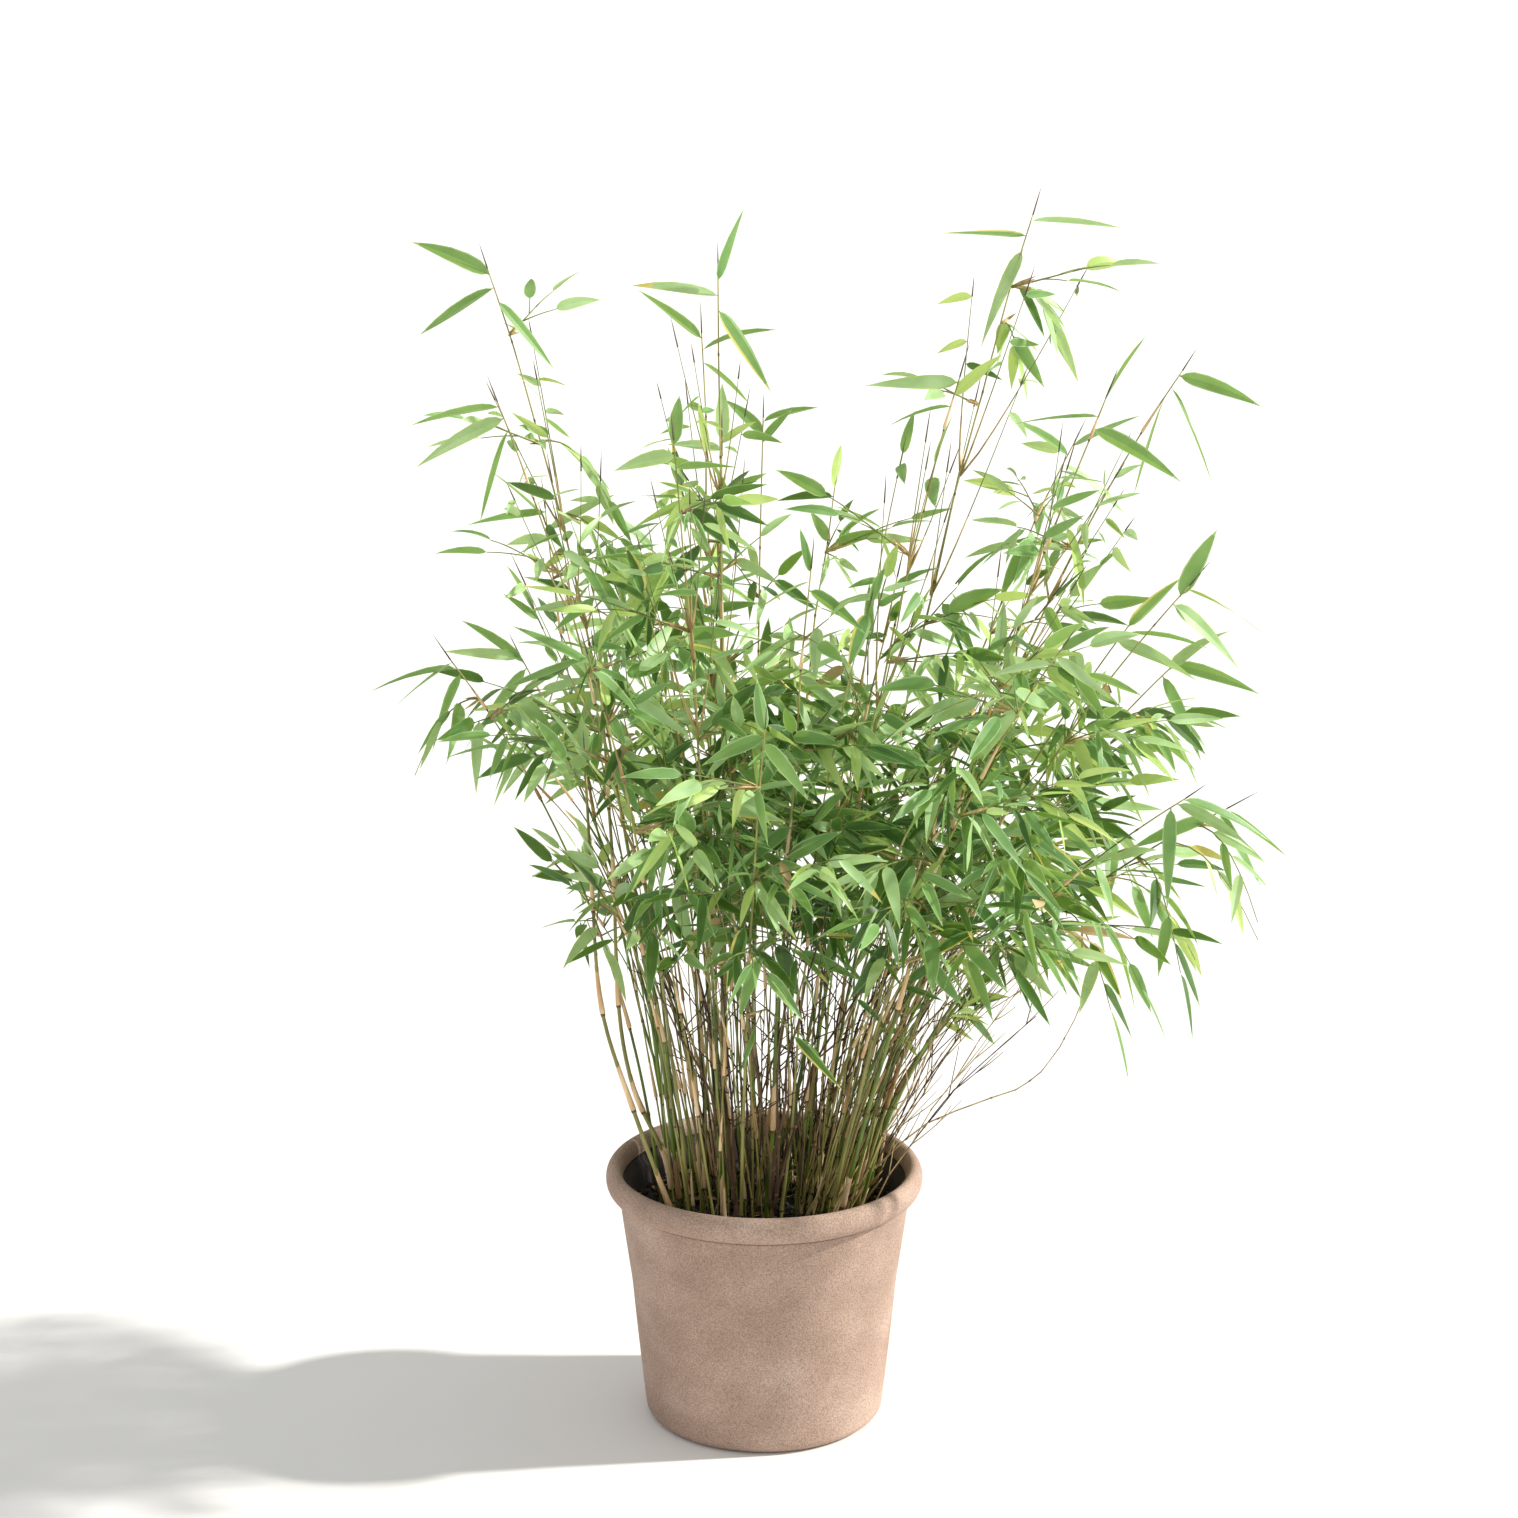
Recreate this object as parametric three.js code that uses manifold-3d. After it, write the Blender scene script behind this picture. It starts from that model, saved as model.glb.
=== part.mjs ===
// Potted bamboo: one clump of arching canes in a round clay pot with a rolled rim.
// Millimetres, +Z up. The origin is the centre of the pot's flat underside. +X is the right of
// the side that the plant is seen from, and +Y runs away from the viewer.

import * as THREE from "three";
import { mergeVertices } from "three/addons/utils/BufferGeometryUtils.js";
import Module from "manifold-3d";

const wasm = await Module();
wasm.setup();

// Clearance between solids that would touch.
const GAP = 0.3;

// Pot
const POT_HEIGHT = 248;
const POT_FOOT_RADIUS = 113.5;
const POT_FOOT_ROUND = 10;
const POT_SHOULDER_HEIGHT = 134;
const POT_SHOULDER_RADIUS = 124.5;
const POT_NECK_HEIGHT = 222;
const POT_NECK_RADIUS = 138;
const POT_WALL = 12;
const POT_NECK_WALL = 10;
const POT_FLOOR = 14;
const POT_FACETS = 34;
const FOOT_ROUND_STEPS = 2;
const RIM_RADIUS = 150;
const RIM_HALF_THICKNESS = 8;
const RIM_HALF_HEIGHT = 12.5;
const RIM_ARC_STEPS = 5;
const RIM_ARC_START = -Math.PI / 3;

// Compost
const SOIL_TOP = 206;

// Canes: each runs up from the compost to its own tip, in one upright plane.
const CANE_FOOT_Z = SOIL_TOP + GAP;
const CLUMP_CENTRE_X = 60;
const FOOT_SPREAD = 0.29;
const FOOT_SCATTER = 9;
const FOOT_LIMIT = 104;
const CANE_FOOT_RADIUS = 3.9;
const CANE_TIP_RADIUS = 1.9;
const CANE_SIDES = 5;
const LEAFY_SIDES = 4;
const CANE_STEP = 95;
const CANE_LEAST_STEPS = 3;
const LOW_HANDLE_RISE = 0.36;
const HIGH_HANDLE_RISE = 0.72;

// Bare brown stems in the middle of the clump: each forks low down
const BARE_STEM_COUNT = 4;
const BARE_STEM_HEIGHT = 34;
const BARE_STEM_RADIUS = 2.8;
const BARE_ROD_RADIUS = 1.6;
const BARE_ROD_TIP_RADIUS = 0.8;
const BARE_ROD_COUNT = 4;
const BARE_RING_RADIUS = 62;
const BARE_RING_SCATTER = [0.5, 1.3];
const BARE_TURN_SCATTER = 0.7;
const BARE_ROD_TURN = 1.6;
const BARE_ROD_LEAN = [0.05, 0.5];
const BARE_FORK_PLACE = [0.6, 0.9];
const BARE_TOP_Z = 560;
const BARE_RISE_SHARE = [0.55, 1.05];
const BARE_BEND_OUT = 0.3;
const BARE_BEND_UP = 0.5;
const BARE_TRIES = 60;

// Foliage: leafy twigs on the upper length of each cane
const LEAF_LINE_Z = 440;
const LEAF_LINE_SCATTER = 25;
const LEAF_START_LEAST = 0.2;
const LEAF_START_MOST = 0.6;
const TWIG_SPACING = 79;
const TWIG_LEAST_COUNT = 4;
const TWIG_FIRST_PLACE = 0.4;
const TWIG_CROWDING = 1.5;
const TWIG_LOW_LENGTH = 118;
const TWIG_HIGH_LENGTH = 45;
const TWIG_JOINTED_LENGTH = 100;
const TWIG_LENGTH_SCATTER = [0.8, 1.15];
const TWIG_LIFT = [0.45, 0.8];
const TWIG_DROOP = 0.16;
const TWIG_RADIUS = 1.5;
const TWIG_SIDES = 3;
const TWIG_TRIES = 9;
const TWIG_TRY_TURN = 0.7;
const LOW_TWIG_LEAVES = [0.4, 0.6, 0.8];
const HIGH_TWIG_LEAVES = [0.5, 0.75];
const LEAF_LENGTH = 98;
const LEAF_HIGH_SIZE = 0.8;
const LEAF_WIDTH = 18.5;
const LEAF_WIDEST = 0.33;
const LEAF_THICKNESS = 1.1;
const LEAF_SINK = 0.3;
const LEAF_ROLL = 1.25;
const LEAF_LEAST_SWING = 0.4;
const LEAF_MOST_SWING = 0.7;
const LEAF_TRY_SWING = 0.1;
const LEAF_LOW_DROOP = 0.45;
const LEAF_HIGH_DROOP = 0.1;
const LEAF_DROOP_SCATTER = 0.3;
const LEAF_TRIES = 12;
const FLAG_SIZE = 0.86;
const FLAG_FIRST_PLACE = 0.99;
const FLAG_STEP = 0.022;
const FLAG_DEPTH = 0.3;
const FUSE_TOLERANCE = 0.02;

// The crown's space: a cone that opens upwards, from the height where the leaves begin.
const CROWN_CENTRE_X = 130;
const CROWN_LOW_RADIUS = 312;
const CROWN_FLARE = 0.7;

// How closely pieces of one mass may pass: their outer lengths, from ROOT_SHARE out, keep
// OWN_SHARE of the distance that pieces of two masses keep.
const ROOT_SHARE = 0.3;
const OWN_SHARE = 0.35;

const GOLDEN_TURN = THREE.MathUtils.degToRad(137.5);

// One row a cane: where its tip is, and how late it arches over. A bow of 0 is a straight
// slant, 1 rises upright and bends over near the top, and below 0 it leans out first. The
// flags are the ways that the leaves at the tip point, seen from the front, in degrees
// counter-clockwise from the right.
const CANES = [
  { tip: [-249, 40, 1087], bow: 0.55, flags: [163, 212, 318] },
  { tip: [-230, -120, 990], bow: 0.6, flags: [183, 215, 250] },
  { tip: [-203, 80, 862], bow: -0.6, flags: [195, 150, 30] },
  { tip: [-41, -30, 1089], bow: 0.3, flags: [74, 162, 300] },
  { tip: [-58, 110, 1020], bow: 0.2, flags: [150, 20, 310] },
  { tip: [-77, -190, 968], bow: 0.4, flags: [85, 200, 340] },
  { tip: [-1, 190, 930], bow: 0.3, flags: [10, 150, 60] },
  { tip: [40, -150, 850], bow: 0.2, flags: [100, 200, 330] },
  { tip: [241, 50, 1134], bow: 0.2, flags: [352, 176, 250] },
  { tip: [168, -110, 1010], bow: 0.3, flags: [170, 40, 200] },
  { tip: [288, -170, 1000], bow: 0.1, flags: [60, 195, 320] },
  { tip: [386, 100, 987], bow: 0.6, flags: [355, 300, 250] },
  { tip: [300, 230, 900], bow: 0.5, flags: [20, 140, 330] },
  { tip: [378, -60, 817], bow: 0.5, flags: [345, 65, 320] },
  { tip: [118, -60, 825], bow: 0.1, flags: [110, 20, 190] },
  { tip: [335, 20, 765], bow: 0.4, flags: [60, 10, 330] },
  { tip: [250, -240, 800], bow: 0.5, flags: [30, 330, 200] },
  { tip: [430, 20, 590], bow: 0.9, flags: [335, 300, 200] },
  { tip: [395, 150, 700], bow: 0.6, flags: [345, 30, 300] },
  { tip: [372, -130, 640], bow: 0.75, flags: [320, 345, 270] },
  { tip: [-283, -40, 745], bow: 0.75, flags: [215, 185, 250] },
  { tip: [-235, 160, 705], bow: 0.6, flags: [190, 150, 230] },
  { tip: [-150, -220, 790], bow: 0.5, flags: [200, 160, 300] },
  { tip: [0, -280, 740], bow: 0.5, flags: [100, 220, 320] },
  { tip: [260, -130, 620], bow: 0.6, flags: [40, 330, 200] },
  { tip: [70, 280, 850], bow: 0.5, flags: [80, 180, 340] },
  { tip: [-110, 260, 790], bow: 0.5, flags: [130, 200, 30] },
];

const UP = new THREE.Vector3(0, 0, 1);

const clay = new THREE.MeshStandardMaterial({ color: 0xa58c80, roughness: 0.85, metalness: 0 });
const compost = new THREE.MeshStandardMaterial({ color: 0x1d1712, roughness: 1, metalness: 0 });
const greenCane = new THREE.MeshStandardMaterial({ color: 0x6f8a3c, roughness: 0.5, metalness: 0 });
const brownStem = new THREE.MeshStandardMaterial({ color: 0x8a6a44, roughness: 0.8, metalness: 0 });
const leafGreen = new THREE.MeshStandardMaterial({ color: 0x4f9a48, roughness: 0.55, metalness: 0 });

// A repeatable run of numbers between 0 and 1, one run for each seed.
class Dice {
  constructor(seed) {
    this.state = seed % 4294967296;
    this.next();
    this.next();
  }

  next() {
    this.state = (this.state * 1664525 + 1013904223) % 4294967296;
    return this.state / 4294967296;
  }

  between(low, high) {
    return low + (high - low) * this.next();
  }
}

// The closest distance between segment a-b and segment c-d.
function segmentGap(a, b, c, d) {
  const u = b.clone().sub(a);
  const v = d.clone().sub(c);
  const w = a.clone().sub(c);
  const uu = u.dot(u);
  const uv = u.dot(v);
  const vv = v.dot(v);
  const uw = u.dot(w);
  const vw = v.dot(w);
  const spread = uu * vv - uv * uv;
  const clamp = THREE.MathUtils.clamp;
  let s = spread > 1e-9 ? clamp((uv * vw - vv * uw) / spread, 0, 1) : 0;
  const t = clamp((uv * s + vw) / vv, 0, 1);
  s = clamp((uv * t - uw) / uu, 0, 1);
  return w.addScaledVector(u, s).addScaledVector(v, -t).length();
}

// All that has grown so far, as segments with a radius, each with the name of what owns it.
const grown = [];

function claim(owner, start, end, radius) {
  grown.push({ owner, start, end, radius });
}

// A new piece keeps off all that other masses and canes own. Its outer length also keeps
// off its own mass's pieces, by a smaller share, as they may join.
function isClear(owner, start, end, radius) {
  const outer = start.clone().lerp(end, ROOT_SHARE);
  return grown.every((other) => {
    const reach = radius + other.radius;
    return other.owner === owner
      ? segmentGap(outer, end, other.start, other.end) > reach * OWN_SHARE
      : segmentGap(start, end, other.start, other.end) > reach + GAP;
  });
}

function inCrown(point) {
  const room = CROWN_LOW_RADIUS + CROWN_FLARE * (point.z - LEAF_LINE_Z);
  return Math.hypot(point.x - CROWN_CENTRE_X, point.y) < room;
}

// A limb through a row of joints in one upright plane, which `side` stands square to.
class Rod {
  constructor(joints, side) {
    this.joints = joints;
    this.side = side;
  }

  stretchAt(share) {
    const place = share * (this.joints.length - 1);
    const first = Math.min(Math.floor(place), this.joints.length - 2);
    return { start: this.joints[first], end: this.joints[first + 1], rest: place - first };
  }

  pointAt(share) {
    const { start, end, rest } = this.stretchAt(share);
    return start.clone().lerp(end, rest);
  }

  wayAt(share) {
    const { start, end } = this.stretchAt(share);
    return end.clone().sub(start).normalize();
  }

  isClear(owner, radius) {
    return this.joints.slice(1).every((end, i) => isClear(owner, this.joints[i], end, radius));
  }

  claim(owner, startRadius, endRadius) {
    const last = this.joints.length - 1;
    for (let i = 0; i < last; i += 1) {
      const radius = THREE.MathUtils.lerp(startRadius, endRadius, i / last);
      claim(owner, this.joints[i], this.joints[i + 1], radius);
    }
  }

  wayNear(ring) {
    const before = this.joints[Math.max(ring - 1, 0)];
    const after = this.joints[Math.min(ring + 1, this.joints.length - 1)];
    return after.clone().sub(before).normalize();
  }

  // A closed bar with a few flat sides. Each joint has a section, its half width and half
  // thickness, and a last one of [0, 0] ends the bar in a point. `roll` turns it about the
  // limb. With `level`, the first end is cut flat.
  bar(sections, sides, roll = 0, level = false) {
    const last = this.joints.length - 1;
    const pointed = sections[last][0] === 0;
    const shape = new THREE.CylinderGeometry(pointed ? 0 : 1, 1, 1, sides, last);
    const place = shape.attributes.position;
    for (let i = 0; i < place.count; i += 1) {
      const ring = Math.round((place.getY(i) + 0.5) * last);
      const size = pointed && ring < last ? 1 - ring / last : 1;
      const wide = place.getX(i) / size * sections[ring][0];
      const thick = place.getZ(i) / size * sections[ring][1];
      const way = level && ring === 0 ? UP : this.wayNear(ring);
      const outward = this.side.clone().cross(way).normalize();
      const point = this.joints[ring].clone()
        .addScaledVector(this.side, wide * Math.cos(roll) - thick * Math.sin(roll))
        .addScaledVector(outward, wide * Math.sin(roll) + thick * Math.cos(roll));
      place.setXYZ(i, point.x, point.y, point.z);
    }
    return shape;
  }

  taper(startRadius, endRadius) {
    const last = this.joints.length - 1;
    return this.joints.map((joint, i) => {
      const radius = THREE.MathUtils.lerp(startRadius, endRadius, i / last);
      return [radius, radius];
    });
  }

  // The same limb carried on into a leaf, with the joints and sections that the blade needs.
  barWithLeaf(radius, sides, length, width, roll) {
    const way = this.wayAt(1);
    const widest = this.pointAt(1).addScaledVector(way, length * LEAF_WIDEST);
    const tip = this.pointAt(1).addScaledVector(way, length);
    const limb = new Rod([...this.joints, widest, tip], this.side);
    const sections = [...this.taper(radius, radius), [width / 2, LEAF_THICKNESS / 2], [0, 0]];
    return limb.bar(sections, sides, roll);
  }
}

// A leaf blade: a slim kite with a ridge that is highest at its root.
function leafBlade(root, direction, across, length, width) {
  const up = direction.clone().cross(across).multiplyScalar(LEAF_THICKNESS / 2);
  const widest = root.clone().addScaledVector(direction, length * LEAF_WIDEST);
  const corners = [
    root.clone().add(up),
    root.clone().sub(up),
    widest.clone().addScaledVector(across, width / 2),
    widest.clone().addScaledVector(across, -width / 2),
    root.clone().addScaledVector(direction, length),
  ];
  const blade = new THREE.BufferGeometry().setFromPoints(corners);
  blade.setIndex([0, 3, 4, 0, 4, 2, 1, 4, 3, 1, 2, 4, 0, 2, 1, 0, 1, 3]);
  return blade;
}

function toSolid(geometry) {
  geometry.deleteAttribute("normal");
  geometry.deleteAttribute("uv");
  const merged = mergeVertices(geometry, 1e-4);
  return new wasm.Manifold(new wasm.Mesh({
    numProp: 3,
    vertProperties: new Float32Array(merged.attributes.position.array),
    triVerts: new Uint32Array(merged.index.array),
  }));
}

// Joins pieces into one closed body, and drops any scrap or sealed hollow.
function fuse(pieces) {
  const joined = wasm.Manifold.union(pieces.map(toSolid)).simplify(FUSE_TOLERANCE);
  const bodies = joined.decompose();
  bodies.sort((first, second) => second.volume() - first.volume());
  const mesh = bodies[0].getMesh();
  const geometry = new THREE.BufferGeometry();
  geometry.setAttribute("position", new THREE.BufferAttribute(mesh.vertProperties, 3));
  geometry.setIndex(new THREE.BufferAttribute(mesh.triVerts, 1));
  return geometry;
}

const plant = new THREE.Group();

function addMesh(name, geometry, material) {
  const mesh = new THREE.Mesh(geometry, material);
  mesh.name = name;
  plant.add(mesh);
}

// A round body from its outline of radius and height.
function turned(outline) {
  return new THREE.LatheGeometry(outline, POT_FACETS).rotateX(Math.PI / 2);
}

// Pot: a turned wall that flares to a rolled, oval rim.
function potGeometry() {
  const outline = [new THREE.Vector2(0, 0)];
  const footCentre = POT_FOOT_RADIUS - POT_FOOT_ROUND;
  for (let step = 0; step <= FOOT_ROUND_STEPS; step += 1) {
    const angle = step / FOOT_ROUND_STEPS * Math.PI / 2;
    outline.push(new THREE.Vector2(footCentre + POT_FOOT_ROUND * Math.sin(angle),
      POT_FOOT_ROUND * (1 - Math.cos(angle))));
  }
  outline.push(new THREE.Vector2(POT_SHOULDER_RADIUS, POT_SHOULDER_HEIGHT));
  outline.push(new THREE.Vector2(POT_NECK_RADIUS - GAP, POT_NECK_HEIGHT));
  const rimCentreRadius = RIM_RADIUS - RIM_HALF_THICKNESS;
  const rimCentreHeight = POT_HEIGHT - RIM_HALF_HEIGHT;
  for (let step = 0; step <= RIM_ARC_STEPS; step += 1) {
    const angle = THREE.MathUtils.lerp(RIM_ARC_START, Math.PI, step / RIM_ARC_STEPS);
    outline.push(new THREE.Vector2(rimCentreRadius + RIM_HALF_THICKNESS * Math.cos(angle),
      rimCentreHeight + RIM_HALF_HEIGHT * Math.sin(angle)));
  }
  outline.push(new THREE.Vector2(POT_NECK_RADIUS - POT_NECK_WALL, POT_NECK_HEIGHT));
  outline.push(new THREE.Vector2(POT_SHOULDER_RADIUS - POT_WALL, POT_SHOULDER_HEIGHT));
  outline.push(new THREE.Vector2(footCentre, POT_FLOOR));
  outline.push(new THREE.Vector2(0, POT_FLOOR));
  return turned(outline);
}

// Compost: fills the pot to just under the rim, with a flat top.
function soilGeometry() {
  const shoulder = POT_SHOULDER_RADIUS - POT_WALL;
  const flare = POT_NECK_RADIUS - POT_NECK_WALL - shoulder;
  const fill = (SOIL_TOP - POT_SHOULDER_HEIGHT) / (POT_NECK_HEIGHT - POT_SHOULDER_HEIGHT);
  const clear = GAP * 2;
  const outline = [
    new THREE.Vector2(0, POT_FLOOR + GAP),
    new THREE.Vector2(POT_FOOT_RADIUS - POT_FOOT_ROUND - clear, POT_FLOOR + GAP),
    new THREE.Vector2(shoulder - clear, POT_SHOULDER_HEIGHT),
    new THREE.Vector2(shoulder + flare * fill - clear, SOIL_TOP),
    new THREE.Vector2(0, SOIL_TOP),
  ];
  return turned(outline);
}

// A cane: a curve from its foot to its tip, bare up to leafStart and leafy above it.
class Cane {
  constructor(row, index) {
    const number = String(index + 1).padStart(2, "0");
    this.name = `cane_${number}`;
    this.massName = `foliage_${number}`;
    this.dice = new Dice(1000 + index * 7919);
    this.flags = row.flags;
    const tip = new THREE.Vector3(...row.tip);
    const foot = new THREE.Vector3(tip.x - CLUMP_CENTRE_X, tip.y, 0).multiplyScalar(FOOT_SPREAD);
    foot.x += this.dice.between(-FOOT_SCATTER, FOOT_SCATTER);
    foot.y += this.dice.between(-FOOT_SCATTER, FOOT_SCATTER);
    foot.clampLength(0, FOOT_LIMIT);
    foot.z = CANE_FOOT_Z;
    const reach = tip.clone().sub(foot);
    const handle = (across, rise) => foot.clone().add(
      new THREE.Vector3(reach.x * across, reach.y * across, reach.z * rise));
    const lowHandle = handle((1 - row.bow) / 3, LOW_HANDLE_RISE);
    const highHandle = handle((2 - row.bow) / 3, HIGH_HANDLE_RISE);
    this.curve = new THREE.CubicBezierCurve3(foot, lowHandle, highHandle, tip);
    this.side = reach.clone().cross(UP).normalize();
    const leafLine = LEAF_LINE_Z + this.dice.between(-LEAF_LINE_SCATTER, LEAF_LINE_SCATTER);
    this.leafStart = THREE.MathUtils.clamp((leafLine - foot.z) / reach.z,
      LEAF_START_LEAST, LEAF_START_MOST);
    this.phase = this.dice.between(0, Math.PI * 2);
    this.leafRadius = THREE.MathUtils.lerp(CANE_FOOT_RADIUS, CANE_TIP_RADIUS, this.leafStart);
    this.bare = this.rod(0, this.leafStart);
    this.leafy = this.rod(this.leafStart + GAP / this.speedAt(this.leafStart), 1);
  }

  speedAt(share) {
    const step = 0.01;
    return this.curve.getPoint(share).distanceTo(this.curve.getPoint(share + step)) / step;
  }

  rod(from, to) {
    const length = this.speedAt((from + to) / 2) * (to - from);
    const steps = Math.max(CANE_LEAST_STEPS, Math.round(length / CANE_STEP));
    const joints = [];
    for (let i = 0; i <= steps; i += 1) {
      joints.push(this.curve.getPoint(THREE.MathUtils.lerp(from, to, i / steps)));
    }
    return new Rod(joints, this.side);
  }

  claim() {
    this.bare.claim(this.name, CANE_FOOT_RADIUS, this.leafRadius);
    this.leafy.claim(this.massName, this.leafRadius, CANE_TIP_RADIUS);
  }
}

// A bare brown stem: a stump that forks low down into a few thin rods.
class BareStem {
  constructor(index) {
    this.name = `bare_stem_${index + 1}`;
    this.dice = new Dice(5000 + index * 4243);
    this.turn = (index + 0.5) * Math.PI * 2 / BARE_STEM_COUNT;
    this.stump = this.findStump();
    this.stump.claim(this.name, BARE_STEM_RADIUS, BARE_STEM_RADIUS);
    const sections = this.stump.taper(BARE_STEM_RADIUS, BARE_STEM_RADIUS);
    this.pieces = [this.stump.bar(sections, CANE_SIDES, 0, true)];
    for (let i = 0; i < BARE_ROD_COUNT; i += 1) {
      this.addRod();
    }
  }

  // Tries places round the middle of the pot until the stump stands clear.
  findStump() {
    let stump = null;
    for (let attempt = 0; attempt < BARE_TRIES; attempt += 1) {
      const angle = this.turn + this.dice.between(-BARE_TURN_SCATTER, BARE_TURN_SCATTER);
      const out = BARE_RING_RADIUS * this.dice.between(...BARE_RING_SCATTER);
      const foot = new THREE.Vector3(out * Math.cos(angle), out * Math.sin(angle), CANE_FOOT_Z);
      const top = foot.clone().addScaledVector(UP, BARE_STEM_HEIGHT);
      stump = new Rod([foot, top], new THREE.Vector3(1, 0, 0));
      if (stump.isClear(this.name, BARE_STEM_RADIUS)) {
        break;
      }
    }
    return stump;
  }

  addRod() {
    for (let attempt = 0; attempt < BARE_TRIES; attempt += 1) {
      const angle = this.turn + this.dice.between(-BARE_ROD_TURN, BARE_ROD_TURN);
      const lean = this.dice.between(...BARE_ROD_LEAN);
      const root = this.stump.pointAt(this.dice.between(...BARE_FORK_PLACE));
      const rise = (BARE_TOP_Z - root.z) * this.dice.between(...BARE_RISE_SHARE);
      const out = new THREE.Vector3(Math.cos(angle), Math.sin(angle), 0);
      const bend = root.clone().addScaledVector(out, lean * rise * BARE_BEND_OUT)
        .addScaledVector(UP, rise * BARE_BEND_UP);
      const end = root.clone().addScaledVector(out, lean * rise).addScaledVector(UP, rise);
      const rod = new Rod([root, bend, end], out.clone().cross(UP));
      if (rod.isClear(this.name, BARE_ROD_RADIUS)) {
        const sections = rod.taper(BARE_ROD_RADIUS, BARE_ROD_TIP_RADIUS);
        this.pieces.push(rod.bar(sections, TWIG_SIDES));
        rod.claim(this.name, BARE_ROD_RADIUS, BARE_ROD_RADIUS);
        return;
      }
    }
  }
}

// The foliage of one cane: the cane's leafy length, with twigs and leaves grown out of it.
// Its space is all that they reach where no other cane, twig or leaf has grown.
class Foliage {
  constructor(cane) {
    this.name = cane.massName;
    this.cane = cane;
    this.stem = cane.leafy;
    this.dice = cane.dice;
    this.pieces = [this.stem.bar(this.stem.taper(cane.leafRadius, CANE_TIP_RADIUS), LEAFY_SIDES)];
    const leafyHeight = this.stem.pointAt(1).z - this.stem.pointAt(0).z;
    this.twigCount = Math.max(TWIG_LEAST_COUNT, Math.round(leafyHeight / TWIG_SPACING));
  }

  // Tries directions in turn until a leaf fits between what has grown already.
  addLeaf(root, heading, turnTo, droop, size) {
    const length = LEAF_LENGTH * size;
    const width = LEAF_WIDTH * size;
    for (let attempt = 0; attempt < LEAF_TRIES; attempt += 1) {
      const mostSwing = LEAF_MOST_SWING + LEAF_TRY_SWING * attempt;
      const swing = turnTo * this.dice.between(LEAF_LEAST_SWING, mostSwing);
      const sink = droop + this.dice.between(-LEAF_DROOP_SCATTER, LEAF_DROOP_SCATTER);
      const roll = this.dice.between(-LEAF_ROLL, LEAF_ROLL);
      const sideways = heading.clone().cross(UP).normalize();
      const direction = heading.clone().multiplyScalar(Math.cos(swing))
        .addScaledVector(sideways, Math.sin(swing)).addScaledVector(UP, -sink).normalize();
      const start = root.clone().addScaledVector(direction, -LEAF_SINK);
      const end = start.clone().addScaledVector(direction, length);
      if (inCrown(end) && isClear(this.name, start, end, width / 2)) {
        const across = direction.clone().cross(UP).normalize().applyAxisAngle(direction, roll);
        this.pieces.push(leafBlade(start, direction, across, length, width));
        claim(this.name, start, end, width / 2);
        return;
      }
    }
  }

  // The leaves round the very tip of the cane.
  growFlags() {
    this.cane.flags.forEach((angle, i) => {
      const turn = THREE.MathUtils.degToRad(angle);
      const depth = this.dice.between(-FLAG_DEPTH, FLAG_DEPTH);
      const heading = new THREE.Vector3(Math.cos(turn), depth, Math.sin(turn)).normalize();
      this.addLeaf(this.stem.pointAt(FLAG_FIRST_PLACE - FLAG_STEP * i), heading, 0, 0, FLAG_SIZE);
    });
  }

  // One twig out of the stem: each stands a golden turn round from the one below.
  growTwig(index) {
    if (index >= this.twigCount) {
      return;
    }
    const share = ((index + TWIG_FIRST_PLACE) / this.twigCount) ** TWIG_CROWDING;
    const length = THREE.MathUtils.lerp(TWIG_LOW_LENGTH, TWIG_HIGH_LENGTH, share)
      * this.dice.between(...TWIG_LENGTH_SCATTER);
    const root = this.stem.pointAt(share);
    for (let attempt = 0; attempt < TWIG_TRIES; attempt += 1) {
      const bearing = this.cane.phase + index * GOLDEN_TURN + attempt * TWIG_TRY_TURN;
      const outward = new THREE.Vector3(Math.cos(bearing), Math.sin(bearing), 0);
      const lift = this.dice.between(...TWIG_LIFT);
      const heading = this.stem.wayAt(share).multiplyScalar(lift).add(outward).normalize();
      const end = root.clone().addScaledVector(heading, length)
        .addScaledVector(UP, -length * TWIG_DROOP);
      const joints = [root, end];
      if (length > TWIG_JOINTED_LENGTH) {
        joints.splice(1, 0, root.clone().addScaledVector(heading, length / 2));
      }
      const twig = new Rod(joints, heading.clone().cross(UP).normalize());
      const size = THREE.MathUtils.lerp(1, LEAF_HIGH_SIZE, share);
      const leafWidth = LEAF_WIDTH * size;
      const leafEnd = end.clone().addScaledVector(twig.wayAt(1), LEAF_LENGTH * size);
      if (inCrown(leafEnd) && twig.isClear(this.name, TWIG_RADIUS)
        && isClear(this.name, end, leafEnd, leafWidth / 2)) {
        const roll = this.dice.between(-LEAF_ROLL, LEAF_ROLL);
        this.pieces.push(
          twig.barWithLeaf(TWIG_RADIUS, TWIG_SIDES, LEAF_LENGTH * size, leafWidth, roll));
        twig.claim(this.name, TWIG_RADIUS, TWIG_RADIUS);
        claim(this.name, end, leafEnd, leafWidth / 2);
        this.leafTwig(twig, share, size);
        return;
      }
    }
  }

  // Leaves on alternate sides of a twig.
  leafTwig(twig, share, size) {
    const droop = THREE.MathUtils.lerp(LEAF_LOW_DROOP, LEAF_HIGH_DROOP, share);
    const places = share < 0.5 ? LOW_TWIG_LEAVES : HIGH_TWIG_LEAVES;
    places.forEach((place, i) => {
      this.addLeaf(twig.pointAt(place), twig.wayAt(place), i % 2 === 0 ? 1 : -1, droop, size);
    });
  }
}

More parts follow.
